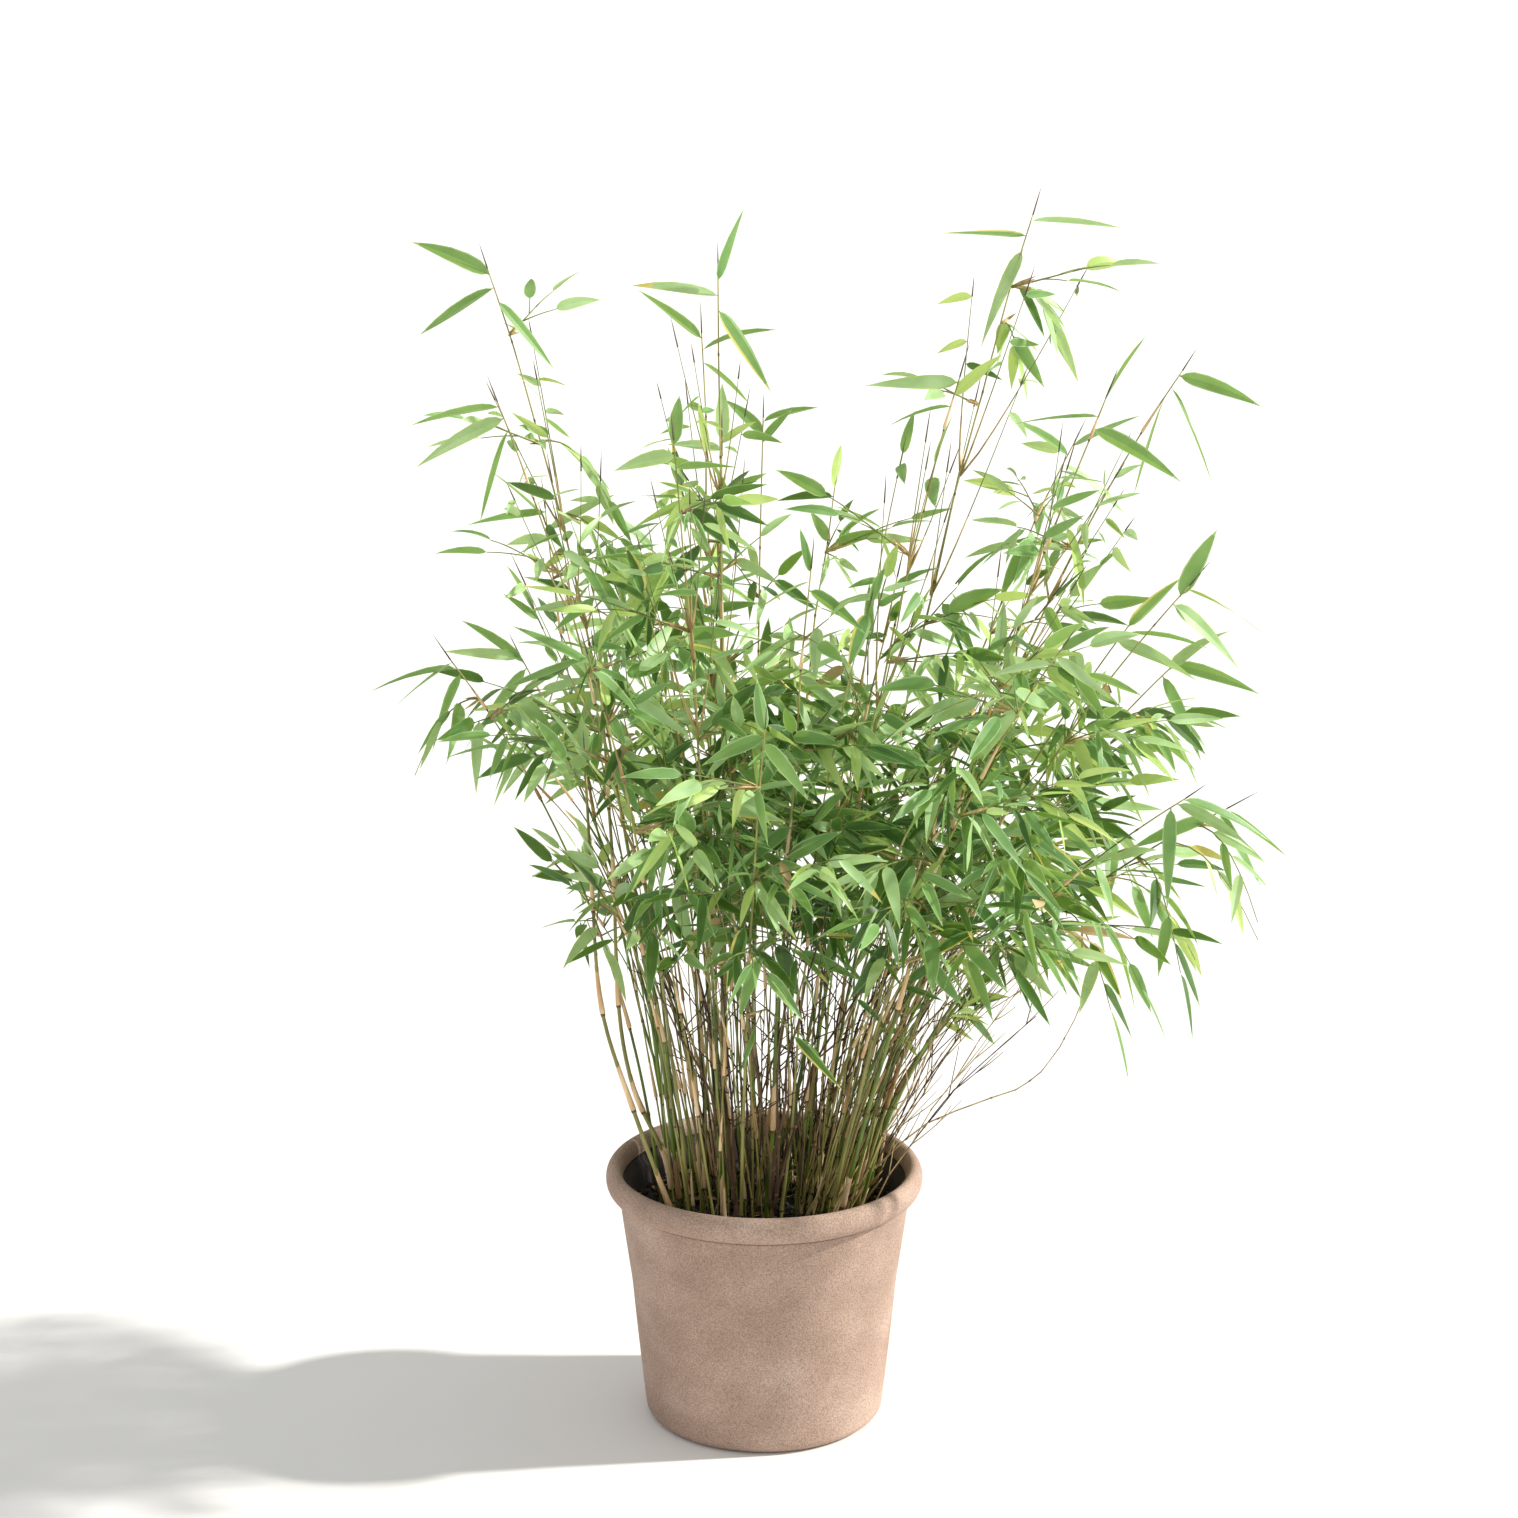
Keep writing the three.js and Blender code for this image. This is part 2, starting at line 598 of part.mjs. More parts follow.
addMesh("pot", potGeometry(), clay);
addMesh("soil", soilGeometry(), compost);

const canes = CANES.map((row, index) => new Cane(row, index));
canes.forEach((cane) => cane.claim());
canes.forEach((cane) => {
  const sections = cane.bare.taper(CANE_FOOT_RADIUS, cane.leafRadius);
  addMesh(cane.name, cane.bare.bar(sections, CANE_SIDES, 0, true), greenCane);
});

for (let index = 0; index < BARE_STEM_COUNT; index += 1) {
  const stem = new BareStem(index);
  addMesh(stem.name, fuse(stem.pieces), brownStem);
}

// The masses grow side by side, a twig at a time, so that they share the room evenly.
const masses = canes.map((cane) => new Foliage(cane));
masses.forEach((mass) => mass.growFlags());
const mostTwigs = Math.max(...masses.map((mass) => mass.twigCount));
for (let index = 0; index < mostTwigs; index += 1) {
  masses.forEach((mass) => mass.growTwig(index));
}
masses.forEach((mass) => addMesh(mass.name, fuse(mass.pieces), leafGreen));

export default plant;
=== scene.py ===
"""Potted bamboo: the dressed plant and its clay pot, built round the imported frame.

The frame is in metres, +Z up, +X to the right of the side seen and +Y away from the viewer.
The plant grows by the same seeded rule as the frame's solids, which works in millimetres. Each
solid leaf's line then carries a spray of finer leaves, and each solid twig finer twigs.
"""

import logging
import math
from dataclasses import dataclass, field
from enum import Enum, IntEnum

import bpy
import numpy as np
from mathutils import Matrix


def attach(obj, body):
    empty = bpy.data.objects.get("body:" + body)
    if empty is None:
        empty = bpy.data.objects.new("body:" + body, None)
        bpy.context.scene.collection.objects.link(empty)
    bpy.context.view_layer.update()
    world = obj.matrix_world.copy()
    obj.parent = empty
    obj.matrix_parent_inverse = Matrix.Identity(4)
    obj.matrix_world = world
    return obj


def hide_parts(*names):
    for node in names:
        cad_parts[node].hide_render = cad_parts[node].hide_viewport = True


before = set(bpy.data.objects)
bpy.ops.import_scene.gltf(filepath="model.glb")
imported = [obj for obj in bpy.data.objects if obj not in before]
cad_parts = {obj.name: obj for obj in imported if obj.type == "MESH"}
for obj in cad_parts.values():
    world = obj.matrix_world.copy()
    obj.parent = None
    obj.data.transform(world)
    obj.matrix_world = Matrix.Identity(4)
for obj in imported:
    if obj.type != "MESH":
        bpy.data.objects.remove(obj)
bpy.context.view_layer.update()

log = logging.getLogger("potted_bamboo")

Vec = np.ndarray
Colour = tuple[float, float, float]
Span = tuple[float, float]

MM = 0.001
UP = np.array([0.0, 0.0, 1.0])
# Keeps the side of an upright direction from having no length.
NUDGE = np.array([1e-6, 0.0, 0.0])
# The clearance between solids that would touch, in millimetres.
GAP = 0.3
GOLDEN_TURN = math.radians(137.5)
BARE_STEM_COUNT = 4

# Each cane's tip, how late it arches over, and the ways of the leaves at its tip, in degrees
# counter-clockwise from the right, as in the frame's solids.
CANE_ROWS = (
    ((-249, 40, 1087), 0.55, (163, 212, 318)),
    ((-230, -120, 990), 0.6, (183, 215, 250)),
    ((-203, 80, 862), -0.6, (195, 150, 30)),
    ((-41, -30, 1089), 0.3, (74, 162, 300)),
    ((-58, 110, 1020), 0.2, (150, 20, 310)),
    ((-77, -190, 968), 0.4, (85, 200, 340)),
    ((-1, 190, 930), 0.3, (10, 150, 60)),
    ((40, -150, 850), 0.2, (100, 200, 330)),
    ((241, 50, 1134), 0.2, (352, 176, 250)),
    ((168, -110, 1010), 0.3, (170, 40, 200)),
    ((288, -170, 1000), 0.1, (60, 195, 320)),
    ((386, 100, 987), 0.6, (355, 300, 250)),
    ((300, 230, 900), 0.5, (20, 140, 330)),
    ((378, -60, 817), 0.5, (345, 65, 320)),
    ((118, -60, 825), 0.1, (110, 20, 190)),
    ((335, 20, 765), 0.4, (60, 10, 330)),
    ((250, -240, 800), 0.5, (30, 330, 200)),
    ((430, 20, 590), 0.9, (335, 300, 200)),
    ((395, 150, 700), 0.6, (345, 30, 300)),
    ((372, -130, 640), 0.75, (320, 345, 270)),
    ((-283, -40, 745), 0.75, (215, 185, 250)),
    ((-235, 160, 705), 0.6, (190, 150, 230)),
    ((-150, -220, 790), 0.5, (200, 160, 300)),
    ((0, -280, 740), 0.5, (100, 220, 320)),
    ((260, -130, 620), 0.6, (40, 330, 200)),
    ((70, 280, 850), 0.5, (80, 180, 340)),
    ((-110, 260, 790), 0.5, (130, 200, 30)),
)


def linear(red: float, green: float, blue: float) -> Colour:
    """Turn a display colour of 0 to 255 into a linear one of 0 to 1."""
    shares = [channel / 255 for channel in (red, green, blue)]
    return tuple(s / 12.92 if s <= 0.04045 else ((s + 0.055) / 1.055) ** 2.4 for s in shares)


def lerp(start: float, end: float, share: float | Vec) -> float | Vec:
    """Mix two values by a share, or by each of several."""
    return start + (end - start) * share


def clamp(value: float, low: float, high: float) -> float:
    """Keep a value between two others."""
    return max(low, min(high, value))


def unit(vector: Vec) -> Vec:
    """Give the vector a length of 1."""
    return vector / np.linalg.norm(vector)


def rounded(value: float) -> int:
    """Round to the nearest whole number, halves upwards."""
    return math.floor(value + 0.5)


def turned_about(vector: Vec, axis: Vec, angle: float) -> Vec:
    """Turn a vector about a unit axis.

    Args:
        vector: The vector to turn.
        axis: The unit vector to turn it about.
        angle: The turn in radians.

    Returns:
        The turned vector.
    """
    across = np.cross(axis, vector)
    along = axis * (axis @ vector) * (1 - math.cos(angle))
    return vector * math.cos(angle) + across * math.sin(angle) + along


def level_way(bearing: float) -> Vec:
    """Give the level unit vector at a bearing in radians."""
    return np.array([math.cos(bearing), math.sin(bearing), 0.0])


def side_of(way: Vec) -> Vec:
    """Give the level unit vector square to a direction."""
    return unit(np.cross(way, UP) + NUDGE)


def column(count: int) -> Vec:
    """Give evenly spread shares from 0 to 1, one below the other."""
    return np.linspace(0, 1, count)[:, None]


def arched(root: Vec, way: Vec, length: float, rise: float, shares: Vec | float) -> Vec:
    """Give places on a course that bends up or down.

    Args:
        root: Where the course starts.
        way: The direction it sets off in.
        length: Its length.
        rise: How far it bends up by its end for each unit of length, below 0 for down.
        shares: The share along it for each place, a number or a column of them.

    Returns:
        The places.
    """
    return root + way * length * shares + UP * length * rise * shares**2


def in_turn(index: int) -> int:
    """Give -1 for an even number and 1 for an odd one."""
    return 1 if index % 2 else -1


class Dice:
    """A repeatable run of numbers between 0 and 1, one run for each seed."""

    def __init__(self, seed: int) -> None:
        """Start the run, and leave out its first two numbers.

        Args:
            seed: The run's number.
        """
        self.state = seed % 2**32
        self.next()
        self.next()

    def next(self) -> float:
        """Give the next number of the run."""
        self.state = (self.state * 1664525 + 1013904223) % 2**32
        return self.state / 2**32

    def between(self, low: float, high: float) -> float:
        """Give a number between two limits."""
        return low + (high - low) * self.next()

    def within(self, span: Span) -> float:
        """Give a number inside a span."""
        return self.between(*span)

    def either(self, reach: float) -> float:
        """Give a number up to a reach on either side of 0."""
        return self.between(-reach, reach)

    def bearing(self) -> float:
        """Give a direction all round, in radians."""
        return self.between(0, math.tau)

    def chance(self, share: float) -> bool:
        """Say yes for the given share of the calls."""
        return self.next() < share


# The growth rule, as in the frame's solids, in millimetres.


@dataclass
class GrownSpace:
    """All that has grown so far, as segments with a radius and an owner.

    A new piece keeps off all that others own. Its outer length, from root_share out, also
    keeps off its own mass's pieces, by the smaller own_share, as they may join.
    """

    root_share: float = 0.3
    own_share: float = 0.35
    least_spread: float = 1e-9
    room: int = 4096
    count: int = 0

    def __post_init__(self) -> None:
        """Make room for the segments."""
        self.starts = np.zeros((self.room, 3))
        self.ends = np.zeros((self.room, 3))
        self.radii = np.zeros(self.room)
        self.owners = np.empty(self.room, dtype=object)

    def claim(self, owner: str, start: Vec, end: Vec, radius: float) -> None:
        """Add a segment to what has grown.

        Args:
            owner: The name of what it belongs to.
            start: The segment's start.
            end: The segment's end.
            radius: The segment's radius.
        """
        self.starts[self.count] = start
        self.ends[self.count] = end
        self.radii[self.count] = radius
        self.owners[self.count] = owner
        self.count += 1

    def gaps(self, start: Vec, end: Vec) -> Vec:
        """Measure from a segment to each that has grown.

        Args:
            start: The segment's start.
            end: The segment's end.

        Returns:
            The closest distance to each segment.
        """
        starts = self.starts[: self.count]
        u = end - start
        v = self.ends[: self.count] - starts
        w = start - starts
        uu, uv, uw = u @ u, v @ u, w @ u
        vv = np.einsum("ij,ij->i", v, v)
        vw = np.einsum("ij,ij->i", w, v)
        spread = uu * vv - uv * uv
        even = spread > self.least_spread
        s = np.where(even, (uv * vw - vv * uw) / np.where(even, spread, 1.0), 0.0).clip(0, 1)
        t = ((uv * s + vw) / vv).clip(0, 1)
        s = ((uv * t - uw) / uu).clip(0, 1)
        return np.linalg.norm(w + s[:, None] * u - t[:, None] * v, axis=1)

    def is_clear(self, owner: str, start: Vec, end: Vec, radius: float) -> bool:
        """Tell if a new segment keeps off all that has grown.

        Args:
            owner: The name of the mass that it would belong to.
            start: The segment's start.
            end: The segment's end.
            radius: The segment's radius.

        Returns:
            True if it is clear.
        """
        own = self.owners[: self.count] == owner
        reach = radius + self.radii[: self.count]
        outer = start + (end - start) * self.root_share
        clear_of_own = self.gaps(outer, end) > reach * self.own_share
        clear_of_rest = self.gaps(start, end) > reach + GAP
        return bool(np.where(own, clear_of_own, clear_of_rest).all())


@dataclass
class Rod:
    """A limb through a row of joints."""

    joints: list[Vec]

    def stretch_at(self, share: float) -> tuple[Vec, Vec, float]:
        """Find the straight stretch at a share of the limb.

        Args:
            share: 0 at the limb's foot to 1 at its end.

        Returns:
            The stretch's start and end, and the share along it.
        """
        place = share * (len(self.joints) - 1)
        first = min(math.floor(place), len(self.joints) - 2)
        return self.joints[first], self.joints[first + 1], place - first

    def point_at(self, share: float) -> Vec:
        """Give the point at a share of the limb."""
        start, end, rest = self.stretch_at(share)
        return start + (end - start) * rest

    def way_at(self, share: float) -> Vec:
        """Give the limb's direction at a share of it."""
        start, end, _ = self.stretch_at(share)
        return unit(end - start)

    def is_clear(self, space: GrownSpace, owner: str, radius: float) -> bool:
        """Tell if the whole limb keeps off all that has grown."""
        pairs = zip(self.joints, self.joints[1:])
        return all(space.is_clear(owner, start, end, radius) for start, end in pairs)

    def claim(self, space: GrownSpace, owner: str, first: float, last: float) -> None:
        """Add the limb to what has grown.

        Args:
            space: What has grown.
            owner: The name of the mass that the limb belongs to.
            first: The limb's radius at its foot.
            last: The limb's radius at its end.
        """
        steps = len(self.joints) - 1
        for i in range(steps):
            radius = lerp(first, last, i / steps)
            space.claim(owner, self.joints[i], self.joints[i + 1], radius)


@dataclass
class LeafLine:
    """The line of one solid leaf, from its root to its tip."""

    start: Vec
    direction: Vec
    length: float


@dataclass
class SolidTwig:
    """One solid twig with the leaf lines that grow from it."""

    rod: Rod
    lines: list[LeafLine] = field(default_factory=list)


@dataclass
class CaneRule:
    """One cane's course: bare up to leaf_start, and leafy above it."""

    index: int
    soil_top: float = 206.0
    clump_centre_x: float = 60.0
    foot_spread: float = 0.29
    foot_scatter: float = 9.0
    foot_limit: float = 104.0
    foot_radius: float = 3.9
    tip_radius: float = 1.9
    step: float = 95.0
    least_steps: int = 3
    low_handle_rise: float = 0.36
    high_handle_rise: float = 0.72
    leaf_line_z: float = 440.0
    leaf_line_scatter: float = 25.0
    leaf_start_least: float = 0.2
    leaf_start_most: float = 0.6
    seed: int = 1000
    seed_step: int = 7919

    def __post_init__(self) -> None:
        """Grow the cane's curve and cut it into its two rods."""
        tip_row, bow, self.flags = CANE_ROWS[self.index]
        number = f"{self.index + 1:02d}"
        self.name, self.mass_name = f"cane_{number}", f"foliage_{number}"
        self.dice = Dice(self.seed + self.index * self.seed_step)
        tip = np.array(tip_row, float)
        foot = np.array([tip[0] - self.clump_centre_x, tip[1], 0.0]) * self.foot_spread
        foot[0] += self.dice.either(self.foot_scatter)
        foot[1] += self.dice.either(self.foot_scatter)
        length = np.linalg.norm(foot)
        foot *= min(length, self.foot_limit) / length
        foot[2] = self.soil_top + GAP
        reach = tip - foot
        low = foot + reach * [(1 - bow) / 3, (1 - bow) / 3, self.low_handle_rise]
        high = foot + reach * [(2 - bow) / 3, (2 - bow) / 3, self.high_handle_rise]
        self.handles = np.array([foot, low, high, tip])
        line = self.leaf_line_z + self.dice.either(self.leaf_line_scatter)
        self.leaf_start = clamp((line - foot[2]) / reach[2], self.leaf_start_least,
                                self.leaf_start_most)
        self.phase = self.dice.bearing()
        self.leaf_radius = lerp(self.foot_radius, self.tip_radius, self.leaf_start)
        self.bare = self.rod(0, self.leaf_start)
        self.leafy = self.rod(self.leaf_start + GAP / self.speed_at(self.leaf_start), 1)

    def point(self, share: float) -> Vec:
        """Give the curve's point at a share of it.

        Args:
            share: 0 at the foot to 1 at the tip.

        Returns:
            The point.
        """
        rest = 1 - share
        weights = (rest**3, 3 * rest**2 * share, 3 * rest * share**2, share**3)
        return np.array(weights) @ self.handles

    def speed_at(self, share: float) -> float:
        """Give the curve's length for each unit of share."""
        step = 0.01
        return float(np.linalg.norm(self.point(share) - self.point(share + step))) / step

    def rod(self, first: float, last: float) -> Rod:
        """Cut a stretch of the curve into straight lengths.

        Args:
            first: The share where the stretch starts.
            last: The share where it ends.

        Returns:
            The stretch as a rod.
        """
        length = self.speed_at((first + last) / 2) * (last - first)
        steps = max(self.least_steps, rounded(length / self.step))
        return Rod([self.point(lerp(first, last, i / steps)) for i in range(steps + 1)])

    def claim(self, space: GrownSpace) -> None:
        """Add both rods to what has grown."""
        self.bare.claim(space, self.name, self.foot_radius, self.leaf_radius)
        self.leafy.claim(space, self.mass_name, self.leaf_radius, self.tip_radius)


@dataclass
class BareStemRule:
    """A bare brown stem: a stump that forks low down into a few thin rods."""

    index: int
    height: float = 34.0
    radius: float = 2.8
    rod_radius: float = 1.6
    rod_count: int = 4
    ring_radius: float = 62.0
    top_z: float = 560.0
    tries: int = 60
    seed: int = 5000
    seed_step: int = 4243

    def grow(self, space: GrownSpace, foot_z: float) -> None:
        """Find the stump a clear place, and grow its rods.

        Args:
            space: What has grown.
            foot_z: The height of the stump's foot.
        """
        self.name = f"bare_stem_{self.index + 1}"
        self.dice = Dice(self.seed + self.index * self.seed_step)
        self.turn = (self.index + 0.5) * math.tau / BARE_STEM_COUNT
        for _ in range(self.tries):
            way = level_way(self.turn + self.dice.either(0.7))
            foot = way * (self.ring_radius * self.dice.between(0.5, 1.3))
            foot[2] = foot_z
            self.stump = Rod([foot, foot + UP * self.height])
            if self.stump.is_clear(space, self.name, self.radius):
                break
        self.stump.claim(space, self.name, self.radius, self.radius)
        self.rods = []
        for _ in range(self.rod_count):
            self.add_rod(space)

    def add_rod(self, space: GrownSpace) -> None:
        """Grow one thin rod out of the stump where there is room.

        Args:
            space: What has grown.
        """
        for _ in range(self.tries):
            out = level_way(self.turn + self.dice.either(1.6))
            lean = self.dice.between(0.05, 0.5)
            root = self.stump.point_at(self.dice.between(0.6, 0.9))
            rise = (self.top_z - root[2]) * self.dice.between(0.55, 1.05)
            bend = root + out * lean * rise * 0.3 + UP * rise * 0.5
            rod = Rod([root, bend, root + out * lean * rise + UP * rise])
            if rod.is_clear(space, self.name, self.rod_radius):
                rod.claim(space, self.name, self.rod_radius, self.rod_radius)
                self.rods.append(rod)
                return


@dataclass(frozen=True)
class CrownSpace:
    """The crown's space: a cone that opens upwards from where the leaves begin."""

    centre_x: float = 130.0
    low_radius: float = 312.0
    flare: float = 0.7
    low_z: float = 440.0

    def holds(self, point: Vec) -> bool:
        """Tell if a point is inside the crown."""
        room = self.low_radius + self.flare * (point[2] - self.low_z)
        return math.hypot(point[0] - self.centre_x, point[1]) < room


@dataclass
class FoliageRule:
    """The foliage of one cane: twigs that each carry a few leaf lines."""

    cane: CaneRule
    space: GrownSpace
    crown: CrownSpace
    twig_spacing: float = 79.0
    least_twigs: int = 4
    first_place: float = 0.4
    crowding: float = 1.5
    low_length: float = 118.0
    high_length: float = 45.0
    jointed_length: float = 100.0
    length_scatter: Span = (0.8, 1.15)
    lift: Span = (0.45, 0.8)
    droop: float = 0.16
    twig_radius: float = 1.5
    twig_tries: int = 9
    try_turn: float = 0.7
    low_places: tuple[float, ...] = (0.4, 0.6, 0.8)
    high_places: tuple[float, ...] = (0.5, 0.75)
    leaf_length: float = 98.0
    leaf_width: float = 18.5
    leaf_high_size: float = 0.8
    leaf_sink: float = 0.3
    leaf_roll: float = 1.25
    leaf_swing: Span = (0.4, 0.7)
    leaf_try_swing: float = 0.1
    leaf_droop: Span = (0.45, 0.1)
    leaf_droop_scatter: float = 0.3
    leaf_tries: int = 12
    flag_size: float = 0.86
    twigs: list[SolidTwig] = field(default_factory=list)
    flags: list[LeafLine] = field(default_factory=list)

    def __post_init__(self) -> None:
        """Count the twigs that the cane's leafy length has."""
        self.name, self.stem, self.dice = self.cane.mass_name, self.cane.leafy, self.cane.dice
        height = self.stem.point_at(1)[2] - self.stem.point_at(0)[2]
        self.twig_count = max(self.least_twigs, rounded(height / self.twig_spacing))

    def draw_roll(self) -> None:
        """Draw the roll of a solid blade, which its line has no use for."""
        self.dice.either(self.leaf_roll)

    def add_leaf(self, lines: list[LeafLine], root: Vec, heading: Vec, turn_to: int,
                 droop: float, size: float) -> None:
        """Try directions in turn until a leaf fits between what has grown already.

        Args:
            lines: The leaf lines to add it to.
            root: Where the leaf leaves its twig.
            heading: The twig's direction.
            turn_to: The side that the leaf turns to, 1 or -1, or 0 for straight on.
            droop: How far the leaf hangs below its heading.
            size: The leaf's size beside the largest.
        """
        length, half_width = self.leaf_length * size, self.leaf_width * size / 2
        least_swing, most_swing = self.leaf_swing
        for attempt in range(self.leaf_tries):
            most = most_swing + self.leaf_try_swing * attempt
            swing = turn_to * self.dice.between(least_swing, most)
            sink = droop + self.dice.either(self.leaf_droop_scatter)
            self.draw_roll()
            sideways = unit(np.cross(heading, UP))
            direction = unit(heading * math.cos(swing) + sideways * math.sin(swing) - UP * sink)
            start = root - direction * self.leaf_sink
            end = start + direction * length
            if self.crown.holds(end) and self.space.is_clear(self.name, start, end, half_width):
                self.space.claim(self.name, start, end, half_width)
                lines.append(LeafLine(start, direction, length))
                return

    def grow_flags(self) -> None:
        """Grow the leaves round the very tip of the cane."""
        for i, angle in enumerate(self.cane.flags):
            turn = math.radians(angle)
            depth = self.dice.either(0.3)
            heading = unit(np.array([math.cos(turn), depth, math.sin(turn)]))
            root = self.stem.point_at(0.99 - 0.022 * i)
            self.add_leaf(self.flags, root, heading, 0, 0, self.flag_size)

    def grow_twig(self, index: int) -> None:
        """Grow one twig, a golden turn round from the one below.

        Args:
            index: The twig's number on its cane, from 0 for the lowest.
        """
        if index >= self.twig_count:
            return
        share = ((index + self.first_place) / self.twig_count) ** self.crowding
        length = lerp(self.low_length, self.high_length, share)
        length *= self.dice.within(self.length_scatter)
        root, stem_way = self.stem.point_at(share), self.stem.way_at(share)
        size = lerp(1, self.leaf_high_size, share)
        leaf_length, half_width = self.leaf_length * size, self.leaf_width * size / 2
        for attempt in range(self.twig_tries):
            outward = level_way(self.cane.phase + index * GOLDEN_TURN + attempt * self.try_turn)
            heading = unit(stem_way * self.dice.within(self.lift) + outward)
            end = root + heading * length - UP * length * self.droop
            middle = [root + heading * length / 2] if length > self.jointed_length else []
            twig = Rod([root, *middle, end])
            leaf_end = end + twig.way_at(1) * leaf_length
            if (self.crown.holds(leaf_end)
                    and twig.is_clear(self.space, self.name, self.twig_radius)
                    and self.space.is_clear(self.name, end, leaf_end, half_width)):
                self.draw_roll()
                twig.claim(self.space, self.name, self.twig_radius, self.twig_radius)
                self.space.claim(self.name, end, leaf_end, half_width)
                grown = SolidTwig(twig, [LeafLine(end, twig.way_at(1), leaf_length)])
                self.leaf_twig(grown, share, size)
                self.twigs.append(grown)
                return

    def leaf_twig(self, twig: SolidTwig, share: float, size: float) -> None:
        """Grow leaves on alternate sides of a twig.

        Args:
            twig: The twig.
            share: How high up its cane the twig grows, 0 to 1.
            size: The leaves' size beside the largest.
        """
        droop = lerp(*self.leaf_droop, share)
        places = self.low_places if share < 0.5 else self.high_places
        for i, place in enumerate(places):
            root, heading = twig.rod.point_at(place), twig.rod.way_at(place)
            self.add_leaf(twig.lines, root, heading, -in_turn(i), droop, size)


@dataclass
class Growth:
    """The whole plant as the rule grows it: canes, bare stems and foliage."""

    canes: list[CaneRule] = field(default_factory=list)
    stems: list[BareStemRule] = field(default_factory=list)
    masses: list[FoliageRule] = field(default_factory=list)
    crown: CrownSpace = CrownSpace()

    def grow(self) -> None:
        """Grow the canes, then the bare stems, then all masses side by side."""
        space = GrownSpace()
        self.canes = [CaneRule(index) for index in range(len(CANE_ROWS))]
        for cane in self.canes:
            cane.claim(space)
        self.stems = [BareStemRule(index) for index in range(BARE_STEM_COUNT)]
        for stem in self.stems:
            stem.grow(space, self.canes[0].handles[0][2])
        self.masses = [FoliageRule(cane, space, self.crown) for cane in self.canes]
        for mass in self.masses:
            mass.grow_flags()
        for index in range(max(mass.twig_count for mass in self.masses)):
            for mass in self.masses:
                mass.grow_twig(index)
        twigs = [twig for mass in self.masses for twig in mass.twigs]
        lines = sum(len(twig.lines) for twig in twigs) + sum(len(m.flags) for m in self.masses)
        log.info("rule: %d twigs, %d leaf lines", len(twigs), lines)


# Meshes, in millimetres until they are built.


def squares_along(points: Vec) -> tuple[Vec, Vec, Vec]:
    """Find the directions along and square to a line.

    Args:
        points: The line's points.

    Returns:
        Three unit vectors at each point: along the line, and two square to it.
    """
    ways = np.gradient(points, axis=0)
    ways /= np.linalg.norm(ways, axis=1, keepdims=True)
    reference = np.eye(3)[np.argmin(np.abs(points[-1] - points[0]))]
    first = reference - ways * (ways @ reference)[:, None]
    first /= np.linalg.norm(first, axis=1, keepdims=True)
    return ways, first, np.cross(ways, first)


def ring_quads(rings: int, sides: int) -> Vec:
    """Join rings of vertices into a closed skin.

    Args:
        rings: How many rings there are.
        sides: How many vertices each ring has.

    Returns:
        The quads, ring by ring.
    """
    side = np.arange(sides)
    lower = np.arange(rings - 1)[:, None] * sides
    corners = (side, (side + 1) % sides, (side + 1) % sides + sides, side + sides)
    return np.stack([lower + corner for corner in corners], axis=-1).reshape(-1, 4)


